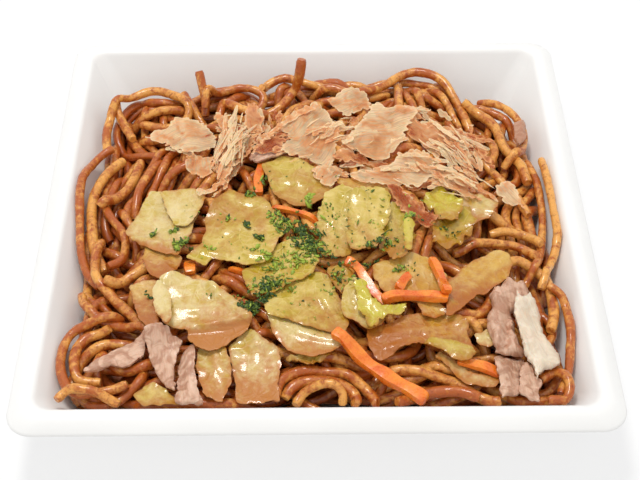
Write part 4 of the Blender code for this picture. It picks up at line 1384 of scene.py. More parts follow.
# Toppings from the lowest to the highest.
TOPPINGS: tuple[Leaf | Slice | Stick, ...] = (
    Leaf("cabbage_front_corner", GREEN, ((-48, -77), (-38, -77), (-37, -74), (-42, -69), (-46, -66),
        (-49, -68), (-51, -71)), rib=10, green=0.3),
    Leaf("cabbage_front_pale", PALE, ((-23, -67), (-22, -75), (-10, -76), (-11, -69), (-10, -62), (-11, -56),
        (-16, -54), (-19, -51), (-22, -53), (-25, -56)), rib=80, crown=0.5, green=0.3, stain=0.65,
        folds=(Fold((-18, -53), (-17, -74), 0.3, 1.8), Fold((-24, -57), (-13, -56), 0.5, 1.0))),
    Leaf("cabbage_front_strip", PALE, ((-34, -61), (-33, -67), (-31, -73), (-26, -74), (-24, -68), (-24, -62),
        (-26, -56), (-30, -56), (-34, -55)), rib=95, crown=0.5, green=0.6, stain=0.6, folds=(Fold((-29, -58),
        (-29, -73), 0.4, 1.4),)),
    Leaf("cabbage_left_under", BROWNED, ((-53, -42), (-51, -48), (-47, -52), (-44, -51), (-46, -45),
        (-47, -40), (-47, -33), (-51, -33), (-55, -35)), rib=90, green=0.1, stain=0.75,
        folds=(Fold((-52, -37), (-46, -48), 0.4),)),
    Leaf("cabbage_left_small", BROWNED, ((-49, -31), (-44, -33), (-41, -29), (-40, -23), (-44, -21),
        (-51, -17), (-52, -24)), rib=40, stain=0.65, folds=(Fold((-50, -21), (-43, -29), 0.5),)),
    Stick("carrot_under", ((-37.7, -23.7), (-37.6, -27.1), (-37.1, -30.9)), 3.4, 2.2),
    Stick("stick_crumb", ((-25.8, -27.7), (-23.6, -29.2), (-21.5, -30)), 1.6, 1.4),
    Slice("pork_left_low", ((-39, -65), (-39, -77), (-31, -75), (-33, -70), (-34, -62), (-35, -55),
        (-38, -58)), grain=95, folds=(Fold((-37, -58), (-35, -75), 0.5),)),
    Slice("pork_left_long", ((-63, -63), (-58, -61), (-53, -62), (-49, -59), (-49, -56), (-48, -54),
        (-43, -52), (-44, -50), (-47, -51), (-51, -53), (-58, -55), (-64, -60), (-66, -63)), grain=20,
        folds=(Fold((-63, -62), (-48, -53), 0.4, 1.6),)),
    Slice("pork_left_mid", ((-48, -59), (-45, -64), (-42, -69), (-39, -72), (-40, -63), (-39, -58),
        (-38, -54), (-42, -52), (-47, -52), (-49, -53)), folds=(Fold((-45, -53), (-40, -69), 0.6, 1.4),)),
    Leaf("cabbage_front_frill", GREEN, ((-5, -62), (-1, -63), (3, -62), (4, -60), (0, -59), (-4, -58),
        (-6, -59), (-9, -61)), frill=1.4, waves=9, green=0.6),
    Leaf("cabbage_low_right", BROWNED, ((15, -58), (17, -62), (20, -61), (23, -59), (27, -57), (32, -57),
        (36, -57), (41, -58), (45, -58), (43, -53), (44, -50), (41, -47), (36, -46), (30, -46), (24, -48),
        (20, -50), (17, -51), (14, -52)), crown=0.7, stain=0.8, browned=-130, folds=(Fold((19, -54),
        (42, -50), 0.5, 1.6), Fold((21, -58), (40, -54), 0.5, 1.2, 0.6, 0.3), Fold((30, -47), (32, -56), 0.4,
        1.0))),
    Leaf("cabbage_front_left", PALE, ((-46, -39), (-45, -44), (-43, -50), (-37, -52), (-37, -54), (-34, -57),
        (-30, -59), (-26, -57), (-20, -53), (-18, -49), (-21, -45), (-25, -40), (-29, -37), (-35, -34),
        (-41, -32), (-46, -34)), rib=20, crown=1.8, frill=0.3, green=0.4, stain=0.15, browned=-60,
        folds=(Fold((-37, -51), (-20, -49), 0.6, 1.1, 1.6, 0.55), Fold((-41, -44), (-24, -46), 0.4, 1.6),
        Fold((-32, -36), (-23, -46), 0.5, 0.9, 0.4, 0.3))),
    Leaf("cabbage_rib", PALE, ((-46, -36), (-47, -39), (-47, -43), (-46, -48), (-43, -53), (-41, -52),
        (-41, -46), (-42, -41)), rib=100, crown=0.8, frill=0.1, thick=1.6, green=0.0, stain=0.0),
    Leaf("cabbage_center_fold", PALE, ((-13, -51), (-11, -55), (-8, -59), (-2, -62), (2, -61), (6, -59),
        (9, -57), (8, -53), (4, -52), (-2, -49), (-8, -47), (-14, -46)), rib=-10, crown=1.2, frill=0.3,
        green=0.45, stain=0.3, folds=(Fold((-12, -50), (6, -56), 0.5, 2.0, 0.6, 0.25),)),
    Leaf("cabbage_center", GREEN, ((-8, -50), (-2, -52), (4, -54), (8, -56), (9, -51), (8, -45), (6, -39),
        (4, -33), (1, -31), (-4, -32), (-9, -35), (-13, -39), (-16, -43), (-14, -49)), rib=30, crown=1.8,
        frill=0.4, green=0.6, stain=0.15, browned=-30, folds=(Fold((-10, -43), (4, -42), 0.4, 2.0),
        Fold((-1, -35), (6, -49), 0.5, 1.2, 0.4, 0.3), Fold((-8, -37), (-9, -49), 0.3))),
    Stick("carrot_long", ((5, -55.3), (12.3, -61.1), (19.3, -67), (25.5, -71), (30, -74.5)), 3.6, 2.6),
    Leaf("cabbage_left_white", PALE, ((-56, -17), (-47, -22), (-41, -24), (-38, -16), (-36, -4), (-37, 3),
        (-46, 5), (-52, 6), (-55, -5), (-58, -13)), rib=30, crown=0.9, frill=0.3, green=0.35, stain=0.1,
        browned=-100, folds=(Fold((-56, -16), (-39, -21), 0.3, 1.2, 0.6, 0.5), Fold((-52, -1), (-42, -19),
        0.3, 1.4))),
    Leaf("cabbage_left_flap", PALE, ((-46, -5), (-43, -12), (-39, -13), (-36, -7), (-34, 0), (-37, 3),
        (-44, 4), (-49, 3)), rib=40, crown=0.5, frill=0.2, stain=0.1, browned=60, folds=(Fold((-44, 2),
        (-40, -10), 0.3, 1.0),)),
    Stick("carrot_thin", ((-14, -2.5), (-8.4, -5.1), (-3.1, -8.5), (2.4, -12)), 1.7, 1.5),
    Leaf("cabbage_mid", GREEN, ((-20, -38), (-18, -42), (-13, -41), (-9, -38), (-5, -35), (-1, -33), (1, -28),
        (0, -23), (-3, -20), (-8, -19), (-13, -21), (-18, -27), (-22, -31)), rib=60, crown=0.7, frill=0.5,
        green=0.75, stain=0.2, folds=(Fold((-18, -38), (-3, -24), 0.5, 1.6), Fold((-9, -22), (-5, -33),
        0.3))),
    Leaf("cabbage_mid_left", GREEN, ((-34, -10), (-33, -15), (-35, -20), (-39, -25), (-33, -28), (-31, -25),
        (-25, -27), (-20, -30), (-14, -28), (-12, -22), (-9, -16), (-7, -13), (-11, -8), (-16, -1), (-20, 1),
        (-23, 1), (-27, 2), (-32, -4)), rib=20, crown=1.1, frill=0.5, green=0.6, stain=0.15, browned=100,
        folds=(Fold((-33, -13), (-11, -13), 0.4, 2.2), Fold((-28, -1), (-16, -4), 0.4, 1.4, 0.3, 0.3),
        Fold((-32, -23), (-16, -26), 0.4, 1.0, 0.5), Fold((-26, -4), (-20, -27), 0.3))),
    Stick("carrot_back", ((-16.9, 16.6), (-18, 9), (-17.6, 3.8)), 3.0, 2.2),
    Leaf("cabbage_upper_mid", GREEN, ((-15, 8), (-13, 2), (-8, -3), (-2, -4), (5, -1), (6, 6), (1, 12),
        (-5, 16), (-11, 18), (-17, 14)), crown=0.7, folds=(Fold((-14, 11), (2, 2), 0.5, 1.4), Fold((-5, 13),
        (-6, -1), 0.3, 1.0))),
    Leaf("leaf_golden", BROWNED, ((7, 3), (11, -1), (16, -2), (23, -3), (24, 2), (18, 3), (12, 5), (7, 6)),
        green=0.8, folds=(Fold((9, 3), (22, 0), 0.4, 1.0),)),
    Leaf("cabbage_mid_right", BROWNED, ((17, -33), (19, -37), (23, -41), (29, -42), (34, -41), (38, -37),
        (39, -32), (37, -27), (33, -25), (27, -25), (21, -26), (17, -28)), rib=10, stain=0.25,
        folds=(Fold((20, -33), (36, -31), 0.4, 1.6), Fold((26, -28), (31, -39), 0.3, 1.0))),
    Leaf("cabbage_leafy_left", GREEN, ((0, -13), (0, -19), (2, -26), (5, -27), (10, -25), (12, -18), (13, -9),
        (12, -1), (8, 1), (3, -1), (1, -7)), rib=100, crown=0.9, frill=1.0, waves=9, green=0.55, stain=0.2,
        folds=(Fold((6, -3), (5, -24), 0.6), Fold((1, -14), (11, -11), 0.4, 1.0))),
    Leaf("cabbage_leafy_right", GREEN, ((19, -15), (19, -24), (22, -28), (26, -28), (29, -25), (30, -19),
        (29, -13), (27, -7), (24, -4), (21, -7)), rib=95, crown=1.0, frill=1.3, waves=9, green=0.75,
        stain=0.45, folds=(Fold((22, -8), (23, -25), 0.7, 1.1), Fold((27, -9), (28, -23), 0.5, 0.9))),
    Leaf("cabbage_leafy_mid", GREEN, ((10, -11), (9, -18), (10, -25), (14, -26), (19, -23), (22, -16),
        (23, -9), (23, -3), (20, 0), (15, 0), (11, -4)), rib=70, crown=0.9, frill=1.1, waves=8, green=0.6,
        stain=0.15, folds=(Fold((15, -3), (15, -24), 0.6, 1.3), Fold((20, -3), (18, -19), 0.4, 1.0))),
    Leaf("leaf_stem", GREEN, ((26, -26), (28, -27), (29, -23), (30, -16), (29, -12), (27, -14)), rib=90,
        crown=0.8, green=1.5, stain=0.1),
    Leaf("leaf_shaded", GREEN, ((5, -36), (8, -41), (11, -37), (11, -32), (7, -29), (3, -31)), rib=60,
        frill=0.8, green=0.9, stain=0.6),
    Leaf("cabbage_right_pale", PALE, ((44, -3), (44, -9), (46, -13), (50, -10), (55, -7), (57, -2), (55, 0),
        (50, 2), (46, 1)), rib=10, frill=0.8, green=0.4, stain=0.45, folds=(Fold((46, -2), (55, -6), 0.4),)),
    Leaf("cabbage_right_curl", GREEN, ((38, -23), (43, -21), (47, -16), (50, -10), (48, -5), (45, -6),
        (40, -9), (36, -13), (35, -20)), rib=30, frill=1.8, waves=9, green=1.1, folds=(Fold((37, -17),
        (47, -8), 0.9, 1.0), Fold((39, -21), (48, -14), 0.7, 0.8))),
    Leaf("cabbage_right_frill", GREEN, ((36, -8), (38, -13), (42, -14), (45, -9), (45, -3), (42, 2), (38, 4),
        (35, 1), (33, -4)), rib=120, crown=1.0, frill=1.6, waves=8, green=1.35, stain=0.2,
        folds=(Fold((35, -2), (42, -10), 0.8, 1.4), Fold((39, 1), (44, -5), 0.6, 0.9))),
    Leaf("cabbage_pale_curl", PALE, ((7, -45), (8, -49), (12, -52), (15, -53), (19, -51), (21, -48),
        (17, -45), (14, -40), (12, -35), (10, -37), (8, -41)), rib=80, crown=0.8, frill=0.8, green=0.7,
        stain=0.15, folds=(Fold((11, -39), (14, -50), 0.5),)),
    Leaf("leaf_slip", BROWNED, ((31, -48), (35, -49), (38, -46), (36, -43), (29, -42)), green=0.4,
        stain=0.45),
    Stick("carrot_bent", ((9, -29), (12.5, -31.2), (15.5, -36.4), (18, -40.2), (21.1, -43.1)), 2.9, 2.0),
    Leaf("cabbage_bright", GREEN, ((11, -44), (12, -48), (14, -50), (14, -53), (17, -54), (19, -51),
        (22, -49), (26, -48), (26, -44), (22, -46), (19, -46), (16, -44), (15, -40), (14, -38), (11, -39)),
        rib=-30, crown=0.8, frill=1.2, waves=9, green=1.7, stain=0.0, folds=(Fold((12, -40), (18, -49), 0.6),
        Fold((18, -48), (25, -46), 0.4, 0.8))),
    Leaf("cabbage_right_brown", BROWNED, ((39, -49), (42, -45), (47, -40), (51, -37), (57, -32), (59, -27),
        (58, -23), (55, -21), (51, -23), (46, -26), (42, -31), (38, -37), (38, -42), (37, -49)), rib=40,
        crown=0.9, frill=0.5, green=0.8, stain=0.4, browned=-140, folds=(Fold((39, -44), (56, -25), 0.6, 1.6,
        0.5, 0.3), Fold((44, -41), (56, -29), 0.4, 1.0))),
    Stick("stick_spur", ((24.1, -37.7), (26, -34.7), (27.6, -33.4)), 2.8, 1.8),
    Stick("carrot_cross", ((19.1, -43.2), (23.5, -41.9), (27.9, -41.8), (33.1, -42.5), (38, -44)), 3.0, 2.2),
    Stick("carrot_short", ((34.4, -26.8), (35.7, -30.4), (36.6, -35.1), (37.1, -39.7), (37.7, -43.6)), 2.5,
        2.0),
    Leaf("cabbage_low_tip", PALE, ((37, -64), (40, -68), (42, -69), (50, -69), (52, -65), (44, -65),
        (40, -62), (35, -58), (33, -60)), rib=-40, frill=0.5, green=0.4, stain=0.65),
    Stick("carrot_low", ((39.7, -62), (43.3, -62.8), (47.3, -63.5), (51.4, -65.6)), 3.0, 1.6),
    Leaf("cabbage_yellow_strip", GREEN, ((35, -60), (38, -63), (41, -64), (45, -61), (44, -59), (41, -57),
        (37, -56), (32, -56), (30, -58)), rib=-30, crown=1.2, frill=0.4, green=0.8, stain=0.45,
        folds=(Fold((32, -58), (43, -61), 0.8),)),
    Leaf("leaf_chip", PALE, ((46, -57), (50, -57), (52, -53), (49, -51), (45, -53)), rib=30, stain=0.3),
    Slice("pork_right_low", ((56, -72), (59, -59), (50, -60), (51, -74)), grain=95, folds=(Fold((54, -60),
        (53, -72), 0.5, 1.0),)),
    Slice("pork_right_corner", ((62, -75), (61, -73), (63, -67), (61, -66), (61, -62), (58, -61), (56, -72),
        (59, -76)), folds=(Fold((59, -62), (59, -75), 0.5),)),
    Slice("pork_right_back", ((50, -60), (59, -59), (59, -57), (57, -48), (57, -44), (62, -39), (64, -39),
        (62, -31), (56, -34), (51, -39), (51, -44), (50, -45), (49, -48)), folds=(Fold((51, -42), (63, -34),
        0.5, 1.6), Fold((56, -45), (53, -60), -1.2, 0.7), Fold((53, -45), (51, -58), 0.7, 1.1),
        Fold((58, -43), (56, -58), 0.7))),
    Slice("pork_right_fat", ((63, -66), (69, -63), (69, -57), (66, -53), (65, -43), (63, -37), (60, -40),
        (59, -38), (57, -45), (59, -61), (61, -65), (61, -69)), grain=110, thick=1.9, folds=(Fold((60, -41),
        (64, -64), 0.7, 1.4), Fold((63, -40), (67, -60), 0.5, 0.9), Fold((58, -46), (62, -67), -0.6, 0.6))),
    Slice("pork_back", (), grain=90),
    Slice("pork_back_right", ((66, 31), (67, 26), (70, 31), (71, 36), (70, 40), (67, 38)), grain=60,
        thick=1.2, browned=0.8, folds=(Fold((69, 39), (68, 28), 0.7, 0.9),)),
)


def grained(net: SheetNet, degrees: float) -> tuple[Array, Array]:
    """How far each point of a net lies along and across a direction."""
    turn = math.radians(degrees)
    x, y = (net.xy - net.middle).T
    return (x * math.cos(turn) + y * math.sin(turn), -x * math.sin(turn) + y * math.cos(turn))


def name_seed(name: str) -> int:
    """A seed of its own for each name."""
    return sum(map(ord, name))


@dataclass
class Kitchen:
    """What every topping needs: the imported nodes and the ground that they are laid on."""

    nodes: dict[str, FrameMesh]
    ground: HeightField

    def place(self, name: str, shape: Shape) -> Thing:
        """Makes a piece and lifts the ground to it."""
        self.ground.raise_mesh(*shape[:2])
        return make_mesh(name, *shape, CRISP)

    def stands_for(self, name: str) -> tuple[str, ...]:
        """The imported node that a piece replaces, or none for one that the scene adds."""
        return (name,) if name in self.nodes else ()


@dataclass
class Cabbage:
    """The cooked cabbage: thin veined sheets that sag onto what lies under them."""

    kitchen: Kitchen
    spacing: float = 0.85
    stiffness: int = 220
    finishes: dict[LeafKind, Material] = field(
        default_factory=lambda: {kind: finish.build() for kind, finish in LEAF_FINISHES.items()})

    def veins(self, net: SheetNet, angle: float, seed: int) -> tuple[Array, Array]:
        """Strength of the rib and of the side veins at each point of a net."""
        warp = rolling_noise(seed, 9.0)(*net.xy.T)
        along, across = grained(net, angle)
        across += 1.5 * warp
        rib = np.exp(-(across / 1.1) ** 2)
        phase = (along - 0.9 * np.abs(across) + 1.2 * warp) / 6.0
        branch = np.exp(-((phase - np.round(phase)) * 6.0 / 0.55) ** 2)
        return rib, branch

    def lay(self, leaf: Leaf) -> None:
        """Makes one leaf and lays it."""
        seed = name_seed(leaf.node)
        jag, tear = (0.3, 0.25) if leaf.frill < 1.0 else (0.5, 0.8)
        net = SheetNet(np.array(leaf.corners), self.spacing, jag, seed, tear)
        x, y = net.xy.T
        under = net.rest(self.kitchen.ground, self.stiffness)
        around = np.arctan2(*(net.xy - net.middle).T[::-1])
        ripple = 0.5 + 0.5 * np.sin(leaf.waves * around + seed + 2.0 * rolling_noise(seed, 6.0)(x, y))
        under += (0.35 + leaf.frill * ripple) * np.exp(-net.rim / 2.0)
        under += 0.4 * leaf.crown * (1.0 - np.exp(-net.rim / 6.0))
        # Past a fold the stain grows: partly a brown underside, partly painted shade.
        creases, fold_brown_and_shade = folded(net.xy, leaf.folds)
        under += creases - min(0.0, float(creases.min()))
        rib, branch = self.veins(net, leaf.rib, seed)
        relief = 0.16 * rib + 0.08 * branch
        relief += 0.12 * rolling_noise(seed + 2, 5.0)(x, y) + 0.05 * rolling_noise(seed + 3, 2.0)(x, y)
        turn = math.radians(leaf.browned)
        away = ((net.xy - net.middle) @ np.array([math.cos(turn), math.sin(turn)])) / net.size
        marks = {
            "vein": np.clip(0.9 * rib + 0.5 * branch, 0.0, 1.0),
            "green": leaf.green + 0.2 * rolling_noise(seed + 4, 10.0)(x, y),
            "stain": leaf.stain + fold_brown_and_shade + 0.3 * away + 0.4 * np.exp(-net.rim / 0.4),
        }
        piece = self.kitchen.place(leaf.node.replace("cabbage", "leaf"),
                                   net.solid(under, leaf.thick, relief, marks))
        adopt(piece, self.finishes[leaf.kind], self.kitchen.stands_for(leaf.node))


class PorkKind(Enum):
    """Lean pork and its fat, by the name of their material slot."""

    LEAN = "pork"
    FAT = "pork_fat"


MEAT_FINISHES = {
    PorkKind.LEAN: MeatFinish("meat_lean", (0.47, 0.24, 0.145), (0.71, 0.46, 0.32),
                              (0.42, 0.18, 0.095)),
    PorkKind.FAT: MeatFinish("meat_fat", (0.70, 0.57, 0.42), (0.78, 0.67, 0.52),
                             (0.74, 0.52, 0.35)),
}


@dataclass
class Pork:
    """Thin slices of pork and a strip of fat."""

    kitchen: Kitchen
    spacing: float = 0.8
    finishes: dict[PorkKind, Material] = field(
        default_factory=lambda: {kind: finish.build() for kind, finish in MEAT_FINISHES.items()})

    def lay(self, part: Slice) -> None:
        """Makes one slice and lays it."""
        kind = PorkKind.FAT if part.node.endswith("fat") else PorkKind.LEAN
        corners = part.corners or self.kitchen.nodes[part.node].outline()
        seed = name_seed(part.node)
        net = SheetNet(np.array(corners, dtype=float), self.spacing, 0.4, seed, 0.5)
        x, y = net.xy.T
        along, across = grained(net, part.grain)
        under = net.rest(self.kitchen.ground, 60)
        under += 0.8 * (0.5 + 0.5 * rolling_noise(seed, 7.0)(x, y))
        creases, _ = folded(net.xy, part.folds)
        relief = creases - min(0.0, float(creases.min()))
        relief += 0.22 * rolling_noise(seed + 1, 1.6)(across, along * 0.25)
        relief += 0.3 * rolling_noise(seed + 2, 4.0)(x, y)
        stain = part.browned + 0.3 * np.clip(rolling_noise(seed + 3, 6.0)(x, y), 0, 1)
        marks = {"stain": stain, "along": along, "across": across}
        piece = self.kitchen.place(part.node.replace("pork", "meat"),
                                   net.solid(under, part.thick, relief, marks))
        adopt(piece, self.finishes[kind], (part.node,))


@dataclass
class Carrots:
    """Sticks of carrot with softened edges, each let down onto what lies under it."""

    kitchen: Kitchen
    sides: int = 20
    finish: Material = field(default_factory=lambda: CarrotFinish().build())

    def height(self, xy: Array, stick: Stick) -> Array:
        """Height of a stick's middle line, which bends only a little over what it lies on."""
        ground = self.kitchen.ground
        need = ground.around(xy[:, 0], xy[:, 1], 0.35 * stick.wide) + 0.5 * stick.tall
        z = need.copy()
        for _ in range(200):
            z[1:-1] = np.maximum(need[1:-1], 0.25 * z[:-2] + 0.5 * z[1:-1] + 0.25 * z[2:])
            z[[0, -1]] = np.maximum(need[[0, -1]], 2 * z[[1, -2]] - z[[2, -3]])
        return z

    def lay(self, stick: Stick) -> None:
        """Sweeps a soft-edged section along a stick's line."""
        seed = name_seed(stick.node)
        xy = smooth_route(stick.route, 0.6)
        line = np.column_stack([xy, self.height(xy, stick)])
        turns = (np.arange(self.sides) + 0.5) * 2 * math.pi / self.sides
        corner = (np.abs(np.cos(turns)) ** 9 + np.abs(np.sin(turns)) ** 9) ** (-1 / 9)
        lean = math.radians(22.0 * math.sin(seed))
        across = 0.5 * stick.wide * corner * np.cos(turns)
        up = 0.5 * stick.tall * corner * np.sin(turns)
        across, up = (across * math.cos(lean) - up * math.sin(lean),
                      across * math.sin(lean) + up * math.cos(lean))
        size = 1.0 + 0.10 * np.sin(np.arange(len(line)) * 0.35 + seed)
        size[[0, -1]] *= 0.8
        side = sideways(line)
        rings = np.repeat(line[:, None], self.sides, axis=1)
        rings[:, :, :2] += side[:, None] * across[None, :, None] * size[:, None, None]
        rings[:, :, 2] += up[None, :] * size[:, None]
        points = np.concatenate([rings.reshape(-1, 3), line[[0, -1]]])
        k = np.arange(self.sides)
        after = (k + 1) % self.sides
        first, last = len(points) - 2, (len(line) - 1) * self.sides
        faces = [np.stack([after, k, 0 * k + first], axis=1),
                 np.stack([last + k, last + after, 0 * k + first + 1], axis=1)]
        for row in range(len(line) - 1):
            low, high = row * self.sides, (row + 1) * self.sides
            faces.append(np.stack([low + k, low + after, high + after], axis=1))
            faces.append(np.stack([low + k, high + after, high + k], axis=1))
        piece = self.kitchen.place(stick.node.replace("carrot", "stick"),
                                   (points, np.concatenate(faces), {}))
        roughen(piece, 0.07, 1.8, seed)
        adopt(piece, self.finish, self.kitchen.stands_for(stick.node))


# ======== fish flakes and seaweed


@dataclass(frozen=True)
class Shaving:
    """One large fish shaving.

    tint runs from 0, cream, to 1, rosy. grain is the direction of its fibres in degrees, curl
    how far its sides bend up, and lift how far it stands off what lies under it.
    """

    name: str
    corners: Outline
    tint: float
    grain: float
    curl: float = 1.0
    lift: float = 0.8


# Large shavings from the lowest to the highest. The extra ones have no node of their own.
SHAVINGS: tuple[Shaving, ...] = (
    Shaving("extra_left_low", ((-32, 11), (-32, 17), (-42, 20), (-41, 13), (-36, 8)), 0.6, 95, 0.4, 0.3),
    Shaving("flake_left", ((-51, 29), (-48, 25), (-39, 17), (-32, 23), (-32, 28), (-36, 36), (-42, 39),
        (-47, 37), (-48, 34), (-52, 35), (-56, 32)), 0.12, 20, 1.2, 1.0),
    Shaving("flake_top", ((20, 45), (17, 55), (13, 56), (9, 54), (4, 51), (10, 42)), 0.2, 30),
    Shaving("extra_dark", ((-12, 17), (-9, 25), (-12, 28), (-16, 27), (-20, 21), (-17, 18)), 1.0, 50, 0.3,
        0.4),
    Shaving("extra_back_left", ((-17, 32), (-18, 35), (-17, 38), (-22, 50), (-23, 35), (-21, 30)), 0.55, 100,
        0.8),
    Shaving("extra_left", ((-23, 18), (-23, 26), (-26, 32), (-33, 34), (-30, 24)), 0.45, 120),
    Shaving("flake_mid_left", ((5, 12), (8, 26), (8, 34), (5, 42), (1, 46), (-5, 42), (-10, 36), (-12, 33),
        (-9, 27), (-11, 17)), 0.28, 60),
    Shaving("flake_lower", ((5, 1), (11, 9), (10, 12), (6, 14), (1, 12), (-1, 9), (1, 5)), 0.4, 70, 1.2),
    Shaving("extra_right", ((43, 18), (44, 24), (43, 30), (41, 33), (37, 34), (33, 39), (28, 38), (31, 28),
        (40, 17)), 0.6, -45, 1.2),
    Shaving("extra_right_long", ((52, 13), (44, 33), (44, 20), (50, 12)), 0.8, -60, 0.6),
    Shaving("extra_right_back", ((58, 15), (57, 23), (54, 30), (53, 41), (51, 32), (56, 17)), 0.95, -75, 0.8),
    Shaving("extra_right_low", ((39, 1), (44, 0), (48, -2), (52, -2), (50, 1), (43, 6), (38, 7), (35, 5)),
        0.5, -20, 1.0, 0.6),
    Shaving("extra_centre", ((14, 15), (21, 14), (24, 17), (10, 21), (5, 18), (8, 14)), 0.75, 0, 0.4, 0.3),
    Shaving("flake_centre", ((15, 18), (20, 17), (24, 18), (28, 22), (31, 32), (35, 39), (32, 43), (24, 44),
        (22, 47), (19, 45), (16, 36), (13, 32), (9, 22), (11, 20)), 0.2, 10, 1.6, 1.0),
    Shaving("flake_right", ((18, 0), (22, 1), (27, 3), (31, 3), (36, 5), (39, 5), (48, 1), (51, 2), (36, 19),
        (27, 18), (25, 15), (13, 10), (9, 6)), 0.28, -25, 1.2),
    Shaving("flake_dark", ((35, -17), (37, -12), (35, -8), (29, 0), (26, 2), (22, 1), (25, -7), (32, -16)),
        1.05, -60, 0.8),
    Shaving("flake_far_right", ((66, -2), (65, 5), (62, 11), (58, 10), (58, 5), (60, 2)), 0.3, -60),
    Shaving("flake_ribbon", ((-29, 3), (-25, 12), (-26, 28), (-28, 35), (-32, 40), (-33, 37), (-31, 31),
        (-29, 11), (-31, 6), (-34, 3), (-37, 1), (-36, -1)), 0.35, 75, 1.4, 1.2),
    Shaving("flake_curl", ((-10, 31), (-5, 37), (1, 41), (-2, 42), (-6, 40), (-11, 34), (-18, 23), (-21, 18),
        (-20, 16)), 0.55, 50),
    Shaving("flake_long", ((45, 3), (49, 0), (50, 2), (42, 10), (37, 14), (38, 12)), 0.05, -40, 0.6, 0.6),
)


@dataclass(frozen=True)
class Bunch:
    """Small shavings that lie together: middle, half widths, direction, number, tint, length."""

    x: float
    y: float
    wide: float
    deep: float
    lean: float
    count: int
    tint: float
    long: float = 10.0
    slim: float = 0.28


